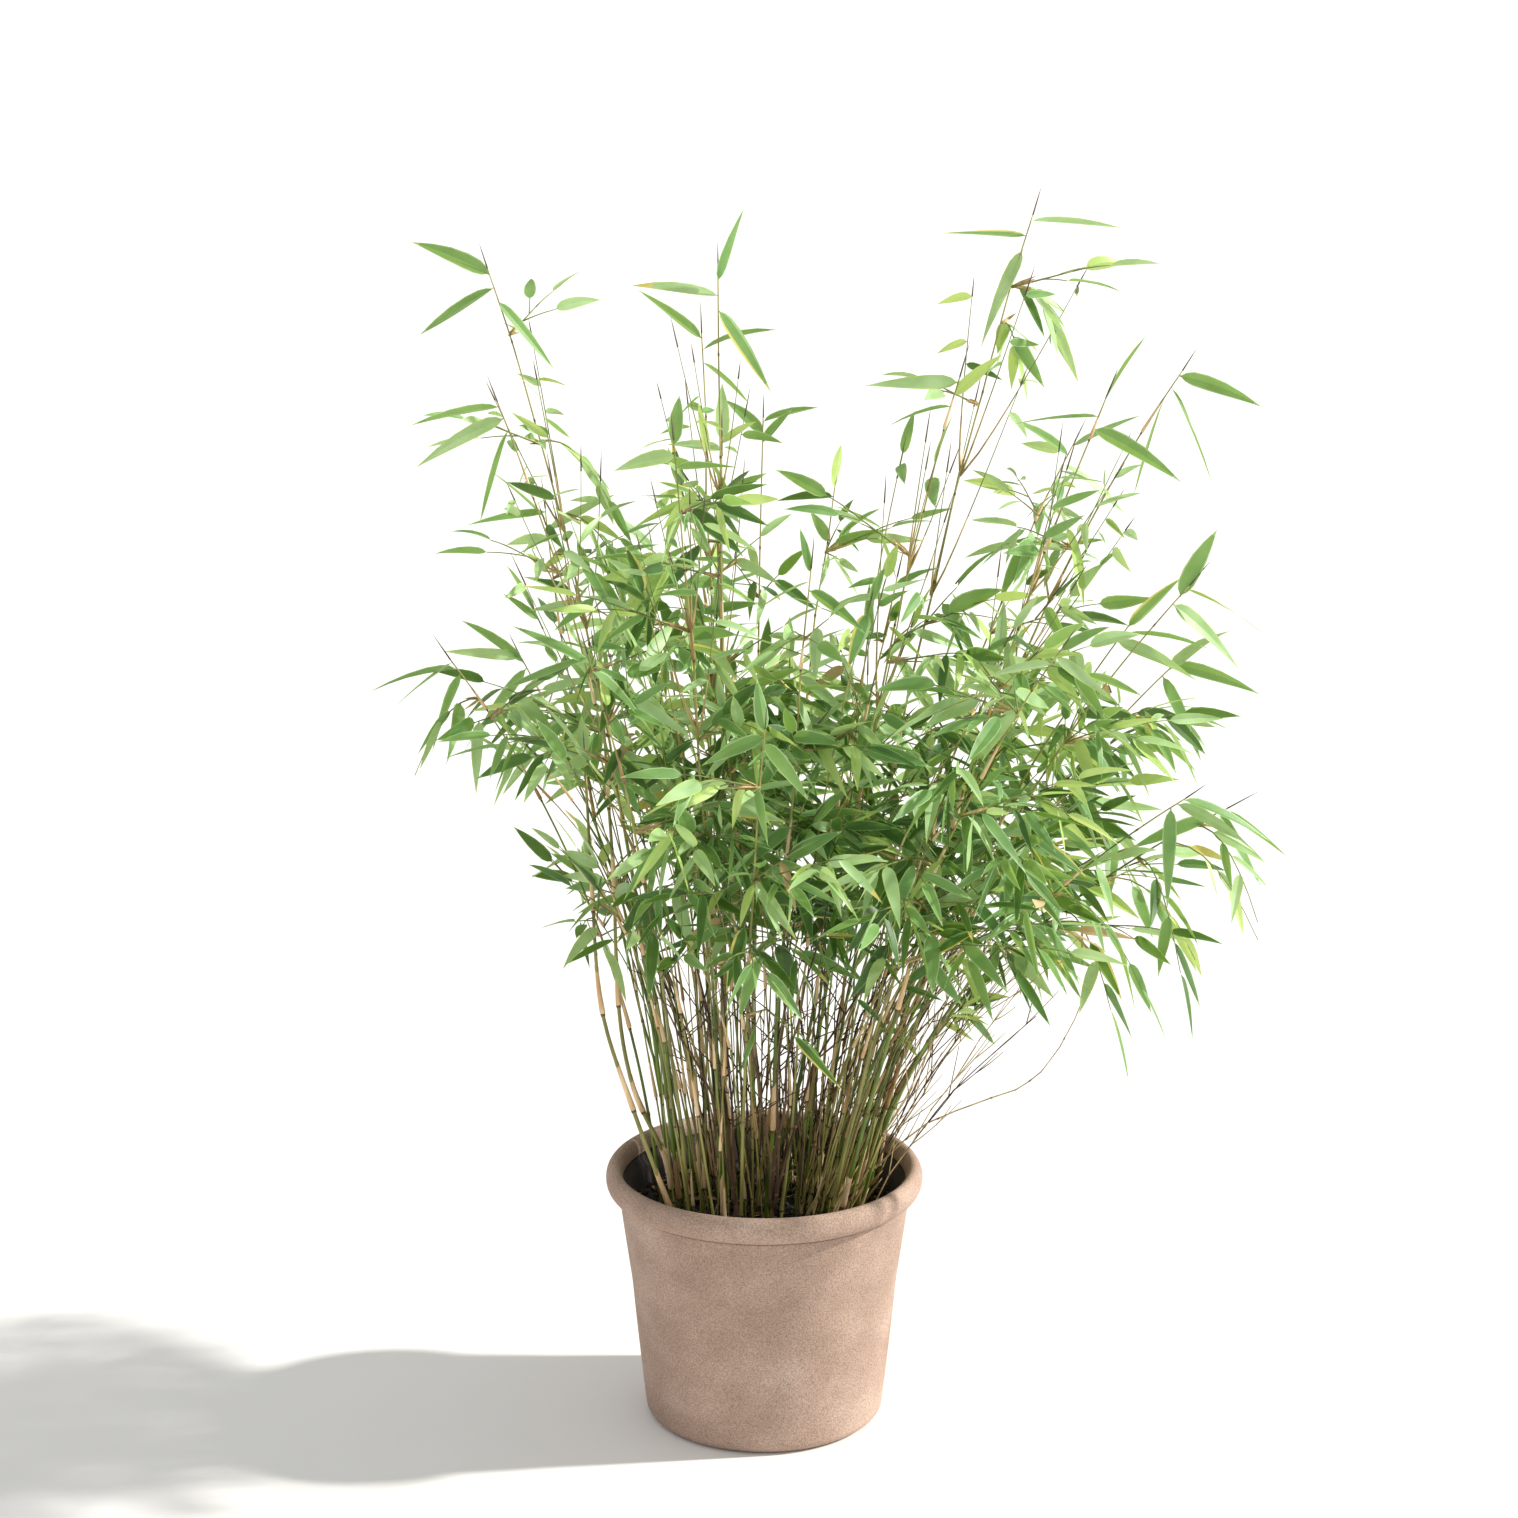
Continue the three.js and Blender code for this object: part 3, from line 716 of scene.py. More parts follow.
@dataclass
class MeshStock:
    """The faces of one joined piece, gathered before it is built."""

    name: str
    materials: list[bpy.types.Material]
    vertices: list[Vec] = field(default_factory=list)
    quads: list[Vec] = field(default_factory=list)
    triangles: list[Vec] = field(default_factory=list)
    quad_slots: list[Vec] = field(default_factory=list)
    triangle_slots: list[Vec] = field(default_factory=list)
    count: int = 0

    def add(self, vertices: Vec, quads: Vec, triangles: Vec | None = None,
            slots: Vec | int = 0) -> None:
        """Add a shape to the piece.

        Args:
            vertices: Its vertices.
            quads: Its four-cornered faces.
            triangles: Its three-cornered faces, if it has any.
            slots: The finish of each quad, or one for the whole shape.
        """
        self.vertices.append(vertices)
        self.quads.append(quads + self.count)
        self.quad_slots.append(np.broadcast_to(slots, len(quads)))
        if triangles is not None:
            self.triangles.append(triangles + self.count)
            slot = slots if isinstance(slots, int) else int(slots[-1])
            self.triangle_slots.append(np.full(len(triangles), slot))
        self.count += len(vertices)

    def add_tube(self, points: Vec, radii: Vec, sides: int, slots: Vec | int = 0,
                 slant: float = 0.0) -> None:
        """Add a closed round bar along a line.

        Args:
            points: The line's points.
            radii: The bar's radius at each point.
            sides: How many flat sides the bar has.
            slots: The finish of each stretch, or one for the whole bar.
            slant: How far the end is drawn out on one side.
        """
        ways, first, second = squares_along(points)
        angles = np.arange(sides) * math.tau / sides
        ring = first[:, None] * np.cos(angles)[:, None] + second[:, None] * np.sin(angles)[:, None]
        skin = points[:, None] + ring * np.asarray(radii)[:, None, None]
        skin[-1] += ways[-1] * slant * np.cos(angles)[:, None]
        vertices = skin.reshape(-1, 3)
        fan = np.array([[0, k + 1, k] for k in range(1, sides - 1)])
        top = (len(points) - 1) * sides
        caps = np.concatenate([fan, fan[:, ::-1] + top])
        spread = slots if isinstance(slots, int) else np.repeat(slots, sides)
        self.add(vertices, ring_quads(len(points), sides), caps, spread)

    def build(self, slot: str, replaced: tuple[str, ...] = (),
              crease: float | None = None) -> None:
        """Build the piece, and hide the frame's nodes that it stands for.

        Args:
            slot: A material slot's name, which is not used.
            replaced: The frame's nodes that the piece stands for.
            crease: The bend in degrees from which an edge looks sharp.
        """
        quads = np.concatenate(self.quads).tolist()
        triangles = np.concatenate(self.triangles).tolist() if self.triangles else []
        mesh = bpy.data.meshes.new(self.name)
        points = np.concatenate(self.vertices) * MM
        mesh.from_pydata(points.tolist(), [], quads + triangles)
        slots = np.concatenate([*self.quad_slots, *self.triangle_slots])
        mesh.polygons.foreach_set("material_index", slots.astype(np.int32))
        mesh.polygons.foreach_set("use_smooth", np.ones(len(slots), dtype=bool))
        for material in self.materials:
            mesh.materials.append(material)
        mesh.update()
        if crease is not None:
            mesh.set_sharp_from_angle(angle=math.radians(crease))
        piece = bpy.data.objects.new(self.name, mesh)
        bpy.context.scene.collection.objects.link(piece)
        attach(piece, "root")
        if replaced:
            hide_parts(*replaced)
        log.info("%s: %d triangles", self.name, 2 * len(quads) + len(triangles))


# Finishes


class Shader:
    """A material's node tree, with short ways to add and join nodes."""

    def __init__(self, name: str) -> None:
        """Make the material with its output node alone.

        Args:
            name: The material's name.
        """
        self.material = bpy.data.materials.new(name)
        self.material.use_nodes = True
        self.tree = self.material.node_tree
        self.tree.nodes.clear()
        self.output = self.node("ShaderNodeOutputMaterial")

    def node(self, kind: str, **settings: object) -> bpy.types.Node:
        """Add a node, and set what is named: properties, or input sockets by name.

        Args:
            kind: The node's type.
            settings: Values, with a socket's spaces written as underscores.

        Returns:
            The node.
        """
        node = self.tree.nodes.new(kind)
        for name, value in settings.items():
            socket = node.inputs.get(name.replace("_", " "))
            if socket is None:
                setattr(node, name, value)
            else:
                socket.default_value = value
        return node

    def join(self, source: bpy.types.Node, output: str | int, target: bpy.types.Node,
             socket: str | int) -> None:
        """Link one node's output to another's input."""
        self.tree.links.new(source.outputs[output], target.inputs[socket])

    def noise(self, scale: float, detail: float,
              stretch: tuple[float, float, float] = (1, 1, 1)) -> bpy.types.Node:
        """Add a noise in the object's own coordinates.

        Args:
            scale: How many blotches there are to a metre.
            detail: How many finer layers it has.
            stretch: How much the scale counts along each axis.

        Returns:
            The noise node.
        """
        place = self.node("ShaderNodeTexCoord")
        mapping = self.node("ShaderNodeMapping", Scale=stretch)
        noise = self.node("ShaderNodeTexNoise", Scale=scale, Detail=detail)
        self.join(place, "Object", mapping, "Vector")
        self.join(mapping, "Vector", noise, "Vector")
        return noise

    def ramp(self, noise: bpy.types.Node, *stops: tuple[float, Colour]) -> bpy.types.Node:
        """Turn a noise into a colour.

        Args:
            noise: The noise node.
            stops: Places from 0 to 1, each with its linear colour.

        Returns:
            The colour ramp node.
        """
        ramp = self.node("ShaderNodeValToRGB")
        elements = ramp.color_ramp.elements
        while len(elements) < len(stops):
            elements.new(0.5)
        for element, (place, colour) in zip(elements, stops):
            element.position = place
            element.color = (*colour, 1.0)
        self.join(noise, "Fac", ramp, "Fac")
        return ramp

    def bump(self, noise: bpy.types.Node, depth: float, strength: float,
             under: bpy.types.Node | None = None) -> bpy.types.Node:
        """Turn a noise into relief.

        Args:
            noise: The noise node.
            depth: The relief's height in millimetres.
            strength: How much of it shows.
            under: A bump node that this relief lies on.

        Returns:
            The bump node.
        """
        bump = self.node("ShaderNodeBump", Distance=depth * MM, Strength=strength)
        self.join(noise, "Fac", bump, "Height")
        if under is not None:
            self.join(under, "Normal", bump, "Normal")
        return bump


@dataclass(frozen=True)
class ClayFinish:
    """Matt fired clay: a fine grain under cloudy lighter blotches."""

    name: str
    dark: Colour
    mid: Colour
    pale: Colour
    roughness: float = 0.88
    specular: float = 0.3
    cloud_scale: float = 14.0
    cloud_stretch: tuple[float, float, float] = (1, 1, 1.3)
    grain_scale: float = 760.0
    dark_speck: tuple[float, Colour] = (0.36, (0.6, 0.6, 0.6))
    pale_speck: tuple[float, Colour] = (0.6, (1.14, 1.12, 1.1))
    speck_strength: float = 0.85
    wave_scale: float = 60.0

    def material(self) -> bpy.types.Material:
        """Make the finish's material."""
        shader = Shader(self.name)
        surface = shader.node("ShaderNodeBsdfPrincipled", Roughness=self.roughness,
                              Specular_IOR_Level=self.specular)
        clouds = shader.noise(self.cloud_scale, 6, self.cloud_stretch)
        colour = shader.ramp(clouds, (0.25, linear(*self.dark)), (0.5, linear(*self.mid)),
                             (0.78, linear(*self.pale)))
        grain = shader.noise(self.grain_scale, 3)
        specks = shader.ramp(grain, self.dark_speck, self.pale_speck)
        mix = shader.node("ShaderNodeMix", data_type="RGBA", blend_type="MULTIPLY")
        # A mix of colours takes its share and its two colours at these sockets.
        share, first, second, mixed = 0, 6, 7, 2
        mix.inputs[share].default_value = self.speck_strength
        shader.join(colour, "Color", mix, first)
        shader.join(specks, "Color", mix, second)
        shader.join(mix, mixed, surface, "Base Color")
        waves = shader.bump(shader.noise(self.wave_scale, 3), 1.2, 0.35)
        shader.join(shader.bump(grain, 0.35, 0.7, waves), "Normal", surface, "Normal")
        shader.join(surface, "BSDF", shader.output, "Surface")
        return shader.material


@dataclass(frozen=True)
class MottledFinish:
    """A matt surface of two near colours in small patches, with a fine relief."""

    name: str
    dark: Colour
    light: Colour
    patches: float
    roughness: float
    relief: float
    stretch: tuple[float, float, float] = (1, 1, 1)

    def material(self) -> bpy.types.Material:
        """Make the finish's material."""
        shader = Shader(self.name)
        surface = shader.node("ShaderNodeBsdfPrincipled", Roughness=self.roughness)
        noise = shader.noise(self.patches, 3, self.stretch)
        colour = shader.ramp(noise, (0.32, linear(*self.dark)), (0.68, linear(*self.light)))
        shader.join(colour, "Color", surface, "Base Color")
        if self.relief:
            shader.join(shader.bump(noise, self.relief, 0.6), "Normal", surface, "Normal")
        shader.join(surface, "BSDF", shader.output, "Surface")
        return shader.material


@dataclass(frozen=True)
class LeafFinish:
    """A satin leaf that lets some light through, in two near greens."""

    name: str
    dark: Colour
    light: Colour
    glow: Colour
    see_through: float = 0.26
    roughness: float = 0.44
    specular: float = 0.48
    patches: float = 38.0
    vein_scale: float = 420.0

    def material(self) -> bpy.types.Material:
        """Make the finish's material."""
        shader = Shader(self.name)
        surface = shader.node("ShaderNodeBsdfPrincipled", Roughness=self.roughness,
                              Specular_IOR_Level=self.specular)
        colour = shader.ramp(shader.noise(self.patches, 2), (0.36, linear(*self.dark)),
                             (0.64, linear(*self.light)))
        shader.join(colour, "Color", surface, "Base Color")
        veins = shader.bump(shader.noise(self.vein_scale, 2), 0.25, 0.4)
        shader.join(veins, "Normal", surface, "Normal")
        back = shader.node("ShaderNodeBsdfTranslucent", Color=(*linear(*self.glow), 1.0))
        mix = shader.node("ShaderNodeMixShader", Fac=self.see_through)
        shader.join(surface, "BSDF", mix, 1)
        shader.join(back, "BSDF", mix, 2)
        shader.join(mix, "Shader", shader.output, "Surface")
        return shader.material


class Tint(Enum):
    """The leaf tints, each with its share of the sprays deep inside and outside: darker deep
    inside as painted shade, paler outside as painted light.
    """

    DEEP = ("leaves_deep", 0.58, 0.04)
    MID = ("leaves_mid", 0.28, 0.38)
    LIGHT = ("leaves_light", 0.12, 0.42)
    FRESH = ("leaves_fresh", 0.02, 0.16)
    YELLOW = ("leaves_yellow", 0.0, 0.0)
    DRY = ("leaves_dry", 0.0, 0.0)

    @property
    def piece(self) -> str:
        """The name of the piece that holds the leaves of this tint."""
        return self.value[0]

    def share(self, level: float) -> float:
        """The share of sprays that have this tint, from 0 deep inside, in painted shade, to 1
        outside, in painted light.
        """
        return lerp(self.value[1], self.value[2], level)


# Where each finish stands in the list of the pieces that have it.
LeafSlot = IntEnum("LeafSlot", "FACE MARGIN DRY", start=0)
ScaleSlot = IntEnum("ScaleSlot", "PAPER STRAW", start=0)
CaneSlot = IntEnum("CaneSlot", "GREEN OLIVE RING STRAW", start=0)
SheathSlot = IntEnum("SheathSlot", "PALE RUSTY", start=0)
DrySlot = IntEnum("DrySlot", "BROWN STRAW RING", start=0)

# All colours are display colours of 0 to 255, and a grain stretches a finish along its piece.
CANE_GRAIN = (1, 1, 0.12)
SHEATH_GRAIN = (1, 1, 0.06)
STEM_GRAIN = (1, 1, 0.1)

# The deep greens stand mostly deep inside the crown as painted shade, and the light and fresh ones
# mostly high and outside as painted light.
LEAF_FINISHES = {
    Tint.DEEP: LeafFinish("leaf_deep", (38, 74, 27), (60, 102, 44), (134, 176, 62)),
    Tint.MID: LeafFinish("leaf_mid", (90, 138, 74), (116, 160, 94), (180, 214, 98)),
    Tint.LIGHT: LeafFinish("leaf_light", (142, 180, 120), (170, 204, 150), (206, 230, 138)),
    Tint.FRESH: LeafFinish("leaf_fresh", (162, 196, 104), (188, 214, 130), (216, 234, 128)),
    Tint.YELLOW: LeafFinish("leaf_yellow", (198, 188, 94), (222, 212, 126), (232, 220, 120)),
    Tint.DRY: LeafFinish("leaf_dry", (186, 156, 112), (212, 188, 146), (216, 186, 130), 0.15, 0.8),
}

CLAY = ClayFinish("clay", (161, 138, 123), (177, 152, 137), (198, 175, 160))
# The pot's inside: clay darkened by damp, and darker still with painted shade.
INNER_CLAY_DAMP_AND_SHADE = ClayFinish("inner_clay_damp_and_shade", (56, 51, 49), (72, 66, 63), (88, 81, 77))
COMPOST = MottledFinish("compost", (16, 13, 11), (50, 42, 36), 240, 0.95, 3.0)
CRUMB = MottledFinish("crumb", (20, 16, 13), (66, 54, 45), 300, 0.95, 1.0)
LITTER = MottledFinish("litter", (120, 92, 66), (186, 156, 122), 260, 0.85, 0.3)
NODE_RING = MottledFinish("node_ring", (78, 60, 40), (122, 98, 66), 200, 0.7, 0.3)
STRAW_STEM = MottledFinish("straw_stem", (146, 124, 80), (202, 178, 126), 120, 0.7, 0.3,
                           STEM_GRAIN)
# In the order of CaneSlot, SheathSlot and DrySlot.
CANE_FINISHES = (
    MottledFinish("cane_green", (62, 90, 24), (122, 146, 48), 90, 0.36, 0.15, CANE_GRAIN),
    MottledFinish("cane_olive", (108, 108, 50), (154, 148, 82), 90, 0.38, 0.15, CANE_GRAIN),
    NODE_RING,
    MottledFinish("cane_straw", (124, 120, 58), (178, 170, 102), 90, 0.45, 0.15, CANE_GRAIN),
)
SHEATH_FINISHES = (
    MottledFinish("sheath", (208, 168, 118), (244, 216, 174), 160, 0.7, 0.3, SHEATH_GRAIN),
    MottledFinish("rusty_sheath", (132, 98, 58), (178, 144, 96), 160, 0.75, 0.3, SHEATH_GRAIN),
)
DRY_FINISHES = (
    MottledFinish("dry_stem", (44, 32, 22), (100, 74, 48), 120, 0.8, 0.4, STEM_GRAIN),
    STRAW_STEM,
    NODE_RING,
)
TWIG = MottledFinish("twig", (98, 116, 54), (136, 140, 76), 150, 0.5, 0.1)
BRACT = MottledFinish("bract", (176, 152, 90), (218, 196, 136), 220, 0.75, 0.2)
ROLLED_TIP = MottledFinish("rolled_tip", (74, 62, 58), (116, 104, 84), 150, 0.6, 0.1)
FLOOR = MottledFinish("pale_floor", (236, 235, 233), (240, 239, 237), 3, 0.9, 0.0)


# The courses of the two culms that stand off on the left, in millimetres.
SIDE_CULMS = (
    ((-78, -62, 200), (-92, -70, 243), (-115, -72, 307), (-144, -74, 399), (-153, -70, 452),
     (-157, -62, 528), (-162, -50, 640)),
    ((-84, -14, 200), (-90, -20, 258), (-121, -22, 318), (-133, -22, 377), (-138, -20, 465),
     (-140, -14, 561), (-148, 0, 690)),
)

# The course of the long dry stem that sweeps out low on the right and turns up, in millimetres.
LOW_SWEEP = ((58, -20, 200), (98, -20, 244), (126, -20, 272), (154, -20, 296), (179, -20, 307),
             (212, -20, 319), (238, -20, 329), (260, -20, 347), (276, -20, 370), (288, -20, 394),
             (294, -20, 411))


# The plant's own shapes.


@dataclass(frozen=True)
class CrownPatch:
    """A part of the front view where the crown is fuller or thinner than its rule gives."""

    x: float
    z: float
    half_width: float
    half_height: float
    gain: float

    def at(self, x: float, z: float) -> float:
        """Give the patch's gain at a place, which fades out from its middle."""
        out = ((x - self.x) / self.half_width) ** 2 + ((z - self.z) / self.half_height) ** 2
        return self.gain * math.exp(-out)


# Each patch's middle, its half width and half height in millimetres, and its gain.
CROWN_PATCHES = tuple(CrownPatch(*row) for row in (
    (-105, 940, 58, 50, 1.9), (232, 1020, 45, 60, 1.5), (240, 860, 45, 50, 0.6),
    (332, 850, 50, 40, 0.45), (52, 848, 38, 32, 1.2), (150, 752, 45, 33, 0.9),
    (59, 668, 45, 40, 0.9), (275, 667, 90, 45, 1.3), (-304, 668, 60, 48, 1.5),
    (-122, 665, 40, 40, 0.5), (59, 575, 50, 45, 0.5), (-213, 856, 45, 40, 0.2),
    (-122, 860, 45, 38, 0.8), (-200, 480, 50, 38, 0.6), (-122, 482, 45, 38, -0.3),
    (59, 480, 45, 40, 0.7), (241, 478, 45, 40, 0.2), (425, 478, 60, 45, 2.0),
    (52, 384, 45, 40, 1.4), (70, 955, 66, 50, -1.4), (152, 895, 54, 90, -1.5),
    (-28, 1020, 55, 55, -1.4), (-315, 860, 65, 120, -1.8), (-120, 1042, 60, 42, -1.5),
    (235, 1125, 60, 40, -1.2), (350, 955, 62, 62, -1.1), (440, 947, 50, 50, -1.0),
    (241, 862, 45, 40, 0.1), (430, 770, 58, 58, -1.3), (435, 670, 50, 40, -1.4),
    (-213, 768, 45, 42, -0.9), (-213, 672, 45, 40, -0.2), (-31, 768, 45, 40, -0.5),
    (241, 770, 45, 38, -0.8), (-215, 572, 70, 44, -1.6), (-122, 575, 45, 35, -0.3),
    (338, 578, 45, 40, -0.9), (430, 585, 60, 52, -1.6), (335, 475, 45, 35, -0.4),
    (100, 372, 220, 55, -1.0), (260, 384, 60, 45, -1.0), (340, 388, 50, 42, -0.9),
))

# Small leafy shoots that hang off a cane's outer length: the cane, the share along it, and the
# shoot's bearing in degrees and length in millimetres.
HANGING_SHOOTS = (
    (17, 0.72, -60, 115), (17, 0.8, 5, 125), (17, 0.86, -70, 130), (17, 0.9, -20, 130),
    (17, 0.95, -50, 115), (19, 0.74, -20, 120), (18, 0.74, -40, 120), (20, 0.92, 215, 95),
    (8, 0.92, -25, 60), (8, 0.88, 60, 50), (0, 0.72, -20, 90), (0, 0.8, 10, 85),
    (3, 0.7, 195, 95), (1, 0.8, -15, 85),
)


@dataclass(frozen=True)
class BladeShape:
    """A slim blade's outline: how wide it is at each place along it, both from 0 to 1."""

    places: tuple[float, ...]
    halves: tuple[float, ...]


LEAF_SHAPE = BladeShape((0, 0.03, 0.08, 0.17, 0.33, 0.54, 0.75, 0.9),
                        (0.08, 0.13, 0.6, 0.92, 1, 0.87, 0.54, 0.21))
SCALE_SHAPE = BladeShape((0, 0.35, 0.75), (0.7, 1, 0.5))


@dataclass
class Blade:
    """One leaf or scale, from its root along its way."""

    root: Vec
    way: Vec
    length: float
    width: float
    roll: float
    sag: float
    fold: float
    twist: float
    dry_rows: int = 0
    dry_edge: bool = False
    margin: bool = False
    plain_rim: float = 0.84
    dry_rim: float = 0.62
    dry_edge_row: int = 2

    def add_to(self, stock: MeshStock, shape: BladeShape) -> None:
        """Add the blade's two halves, which meet at a folded midrib, to a piece.

        Args:
            stock: The piece. Its finishes stand as in LeafSlot where the blade has a margin,
                and else as in ScaleSlot.
            shape: The blade's outline.
        """
        places = np.array(shape.places)[:, None]
        side = turned_about(side_of(self.way), self.way, self.roll)
        face = np.cross(side, self.way)
        turn = self.twist * places
        across = side * np.cos(turn) + face * np.sin(turn)
        normal = face * np.cos(turn) - side * np.sin(turn)
        hang = UP * self.sag * self.length
        middle = self.root + self.way * self.length * places - hang * places**2
        tip = self.root + self.way * self.length - hang
        half = np.array(shape.halves)[:, None] * self.width / 2
        rim = self.dry_rim if self.dry_edge else self.plain_rim
        offsets = (-1, -rim, 0, rim, 1) if self.margin else (-1, 0, 1)
        rows = np.stack([middle + across * half * k + normal * half * self.fold * abs(k)
                         for k in offsets], axis=1)
        steps, columns = len(places) - 1, len(offsets)
        starts = np.arange(steps)[:, None] * columns + np.arange(columns - 1)
        quads = (starts[:, :, None] + [0, 1, columns + 1, columns]).reshape(-1, 4)
        last = steps * columns
        triangles = np.array([[last + c, last + c + 1, last + columns]
                              for c in range(columns - 1)])
        slots = np.zeros((steps, columns - 1), dtype=int)
        if self.margin:
            slots[:, [0, -1]] = LeafSlot.MARGIN
        if self.dry_edge:
            slots[self.dry_edge_row:, -1] = LeafSlot.DRY
        if self.dry_rows:
            slots[-self.dry_rows:] = LeafSlot.DRY if self.margin else ScaleSlot.STRAW
        stock.add(np.concatenate([rows.reshape(-1, 3), [tip]]), quads, triangles, slots.ravel())


@dataclass
class Stem:
    """A jointed stem along a smooth course."""

    course: Vec
    foot_radius: float
    tip_radius: float
    dice: Dice
    internode: Span = (72.0, 112.0)
    zigzag: float = 1.3
    first_node: float = 22.0
    first_node_scatter: Span = (0.6, 1.6)
    bare_end: float = 0.5
    node_swell: float = 0.32
    swell_reach: float = 3.0
    swell_room: float = 1.5
    swell_profile: tuple[Span, ...] = ((-1, 0), (-0.4, 0.8), (0, 1), (0.4, 0.8), (1, 0))
    station_step: float = 15.0
    taper: float = 0.75
    straw_from: float = 610.0
    way_reach: float = 3.0
    sleeve_foot: Span = (0.8, 1.6)
    sleeve_body: float = 6.0
    sleeve_standing: tuple[float, ...] = (0.2, 0.95, 0.9, 0.62, 0.4, 0.2)
    sleeve_slant: Span = (2.0, 7.0)

    def __post_init__(self) -> None:
        """Measure the course and place the nodes."""
        lengths = np.linalg.norm(np.diff(self.course, axis=0), axis=1)
        self.marks = np.concatenate([[0], np.cumsum(lengths)])
        self.length = float(self.marks[-1])
        self.nodes = [self.first_node * self.dice.within(self.first_node_scatter)]
        while self.nodes[-1] < self.length - self.internode[0] * self.bare_end:
            self.nodes.append(self.nodes[-1] + self.dice.within(self.internode))
        self.nodes = self.nodes[:-1]
        self.side = self.dice.bearing()

    def places(self, distances: Vec) -> Vec:
        """Give the stem's middle at distances along it, with its slight zigzag at the nodes.

        Args:
            distances: The distances.

        Returns:
            A point for each distance.
        """
        points = np.stack([np.interp(distances, self.marks, self.course[:, axis])
                           for axis in range(3)], axis=-1)
        marks = [0.0, *self.nodes, self.length]
        swings = [0.0, *[-in_turn(i) * self.zigzag for i in range(len(self.nodes))], 0.0]
        return points + np.interp(distances, marks, swings)[:, None] * level_way(self.side)

    def place(self, distance: float) -> Vec:
        """Give the stem's middle at one distance along it."""
        return self.places(np.array([distance]))[0]

    def radii(self, distances: Vec) -> Vec:
        """Give the stem's plain radius at distances along it."""
        return lerp(self.foot_radius, self.tip_radius, (distances / self.length) ** self.taper)

    def way_at(self, distance: float) -> Vec:
        """Give the stem's direction at a distance along it."""
        ends = np.array([distance - self.way_reach, distance + self.way_reach])
        near = self.places(ends.clip(0, self.length))
        return unit(near[1] - near[0])

    def add_to(self, stock: MeshStock, sides: int, slot: int, ring_slot: int,
               high_slot: int | None = None) -> None:
        """Add the stem with a swollen ring at each node.

        Args:
            stock: The piece to add it to.
            sides: How many flat sides it has.
            slot: The stem's finish.
            ring_slot: The rings' finish.
            high_slot: The finish of its upper length, or None where that is the same.
        """
        steps = max(2, rounded(self.length / self.station_step))
        room = self.swell_reach * self.swell_room
        marks = {float(d): 0.0 for d in np.linspace(0, self.length, steps + 1)}
        for node in self.nodes:
            marks = {d: bump for d, bump in marks.items() if abs(d - node) > room}
            for offset, bump in self.swell_profile:
                marks[node + offset * self.swell_reach] = bump * self.node_swell
        distances = np.array(sorted(d for d in marks if 0 <= d <= self.length))
        bumps = np.array([marks[float(d)] for d in distances])
        rings = (bumps[1:] > 0) & (bumps[:-1] > 0)
        points = self.places(distances)
        upper = slot if high_slot is None else high_slot
        slots = np.where(points[1:, 2] > self.straw_from, upper, slot)
        slots = np.where(rings, ring_slot, slots)
        stock.add_tube(points, self.radii(distances) * (1 + bumps), sides, slots)

    def add_sheath(self, stock: MeshStock, node: float, length: float, sides: int,
                   slot: int) -> None:
        """Add the papery sleeve that starts at a node and hugs the stem above it.

        Args:
            stock: The piece to add it to.
            node: The node's distance along the stem.
            length: The sleeve's length.
            sides: How many flat sides it has.
            slot: The sleeve's finish.
        """
        end = min(node + length, self.length)
        foot = [node + offset for offset in self.sleeve_foot]
        distances = np.array([*foot, *np.linspace(node + self.sleeve_body, end, 4)])
        radii = self.radii(distances) + np.array(self.sleeve_standing)
        slant = self.dice.within(self.sleeve_slant)
        stock.add_tube(self.places(distances), radii, sides, slot, slant)


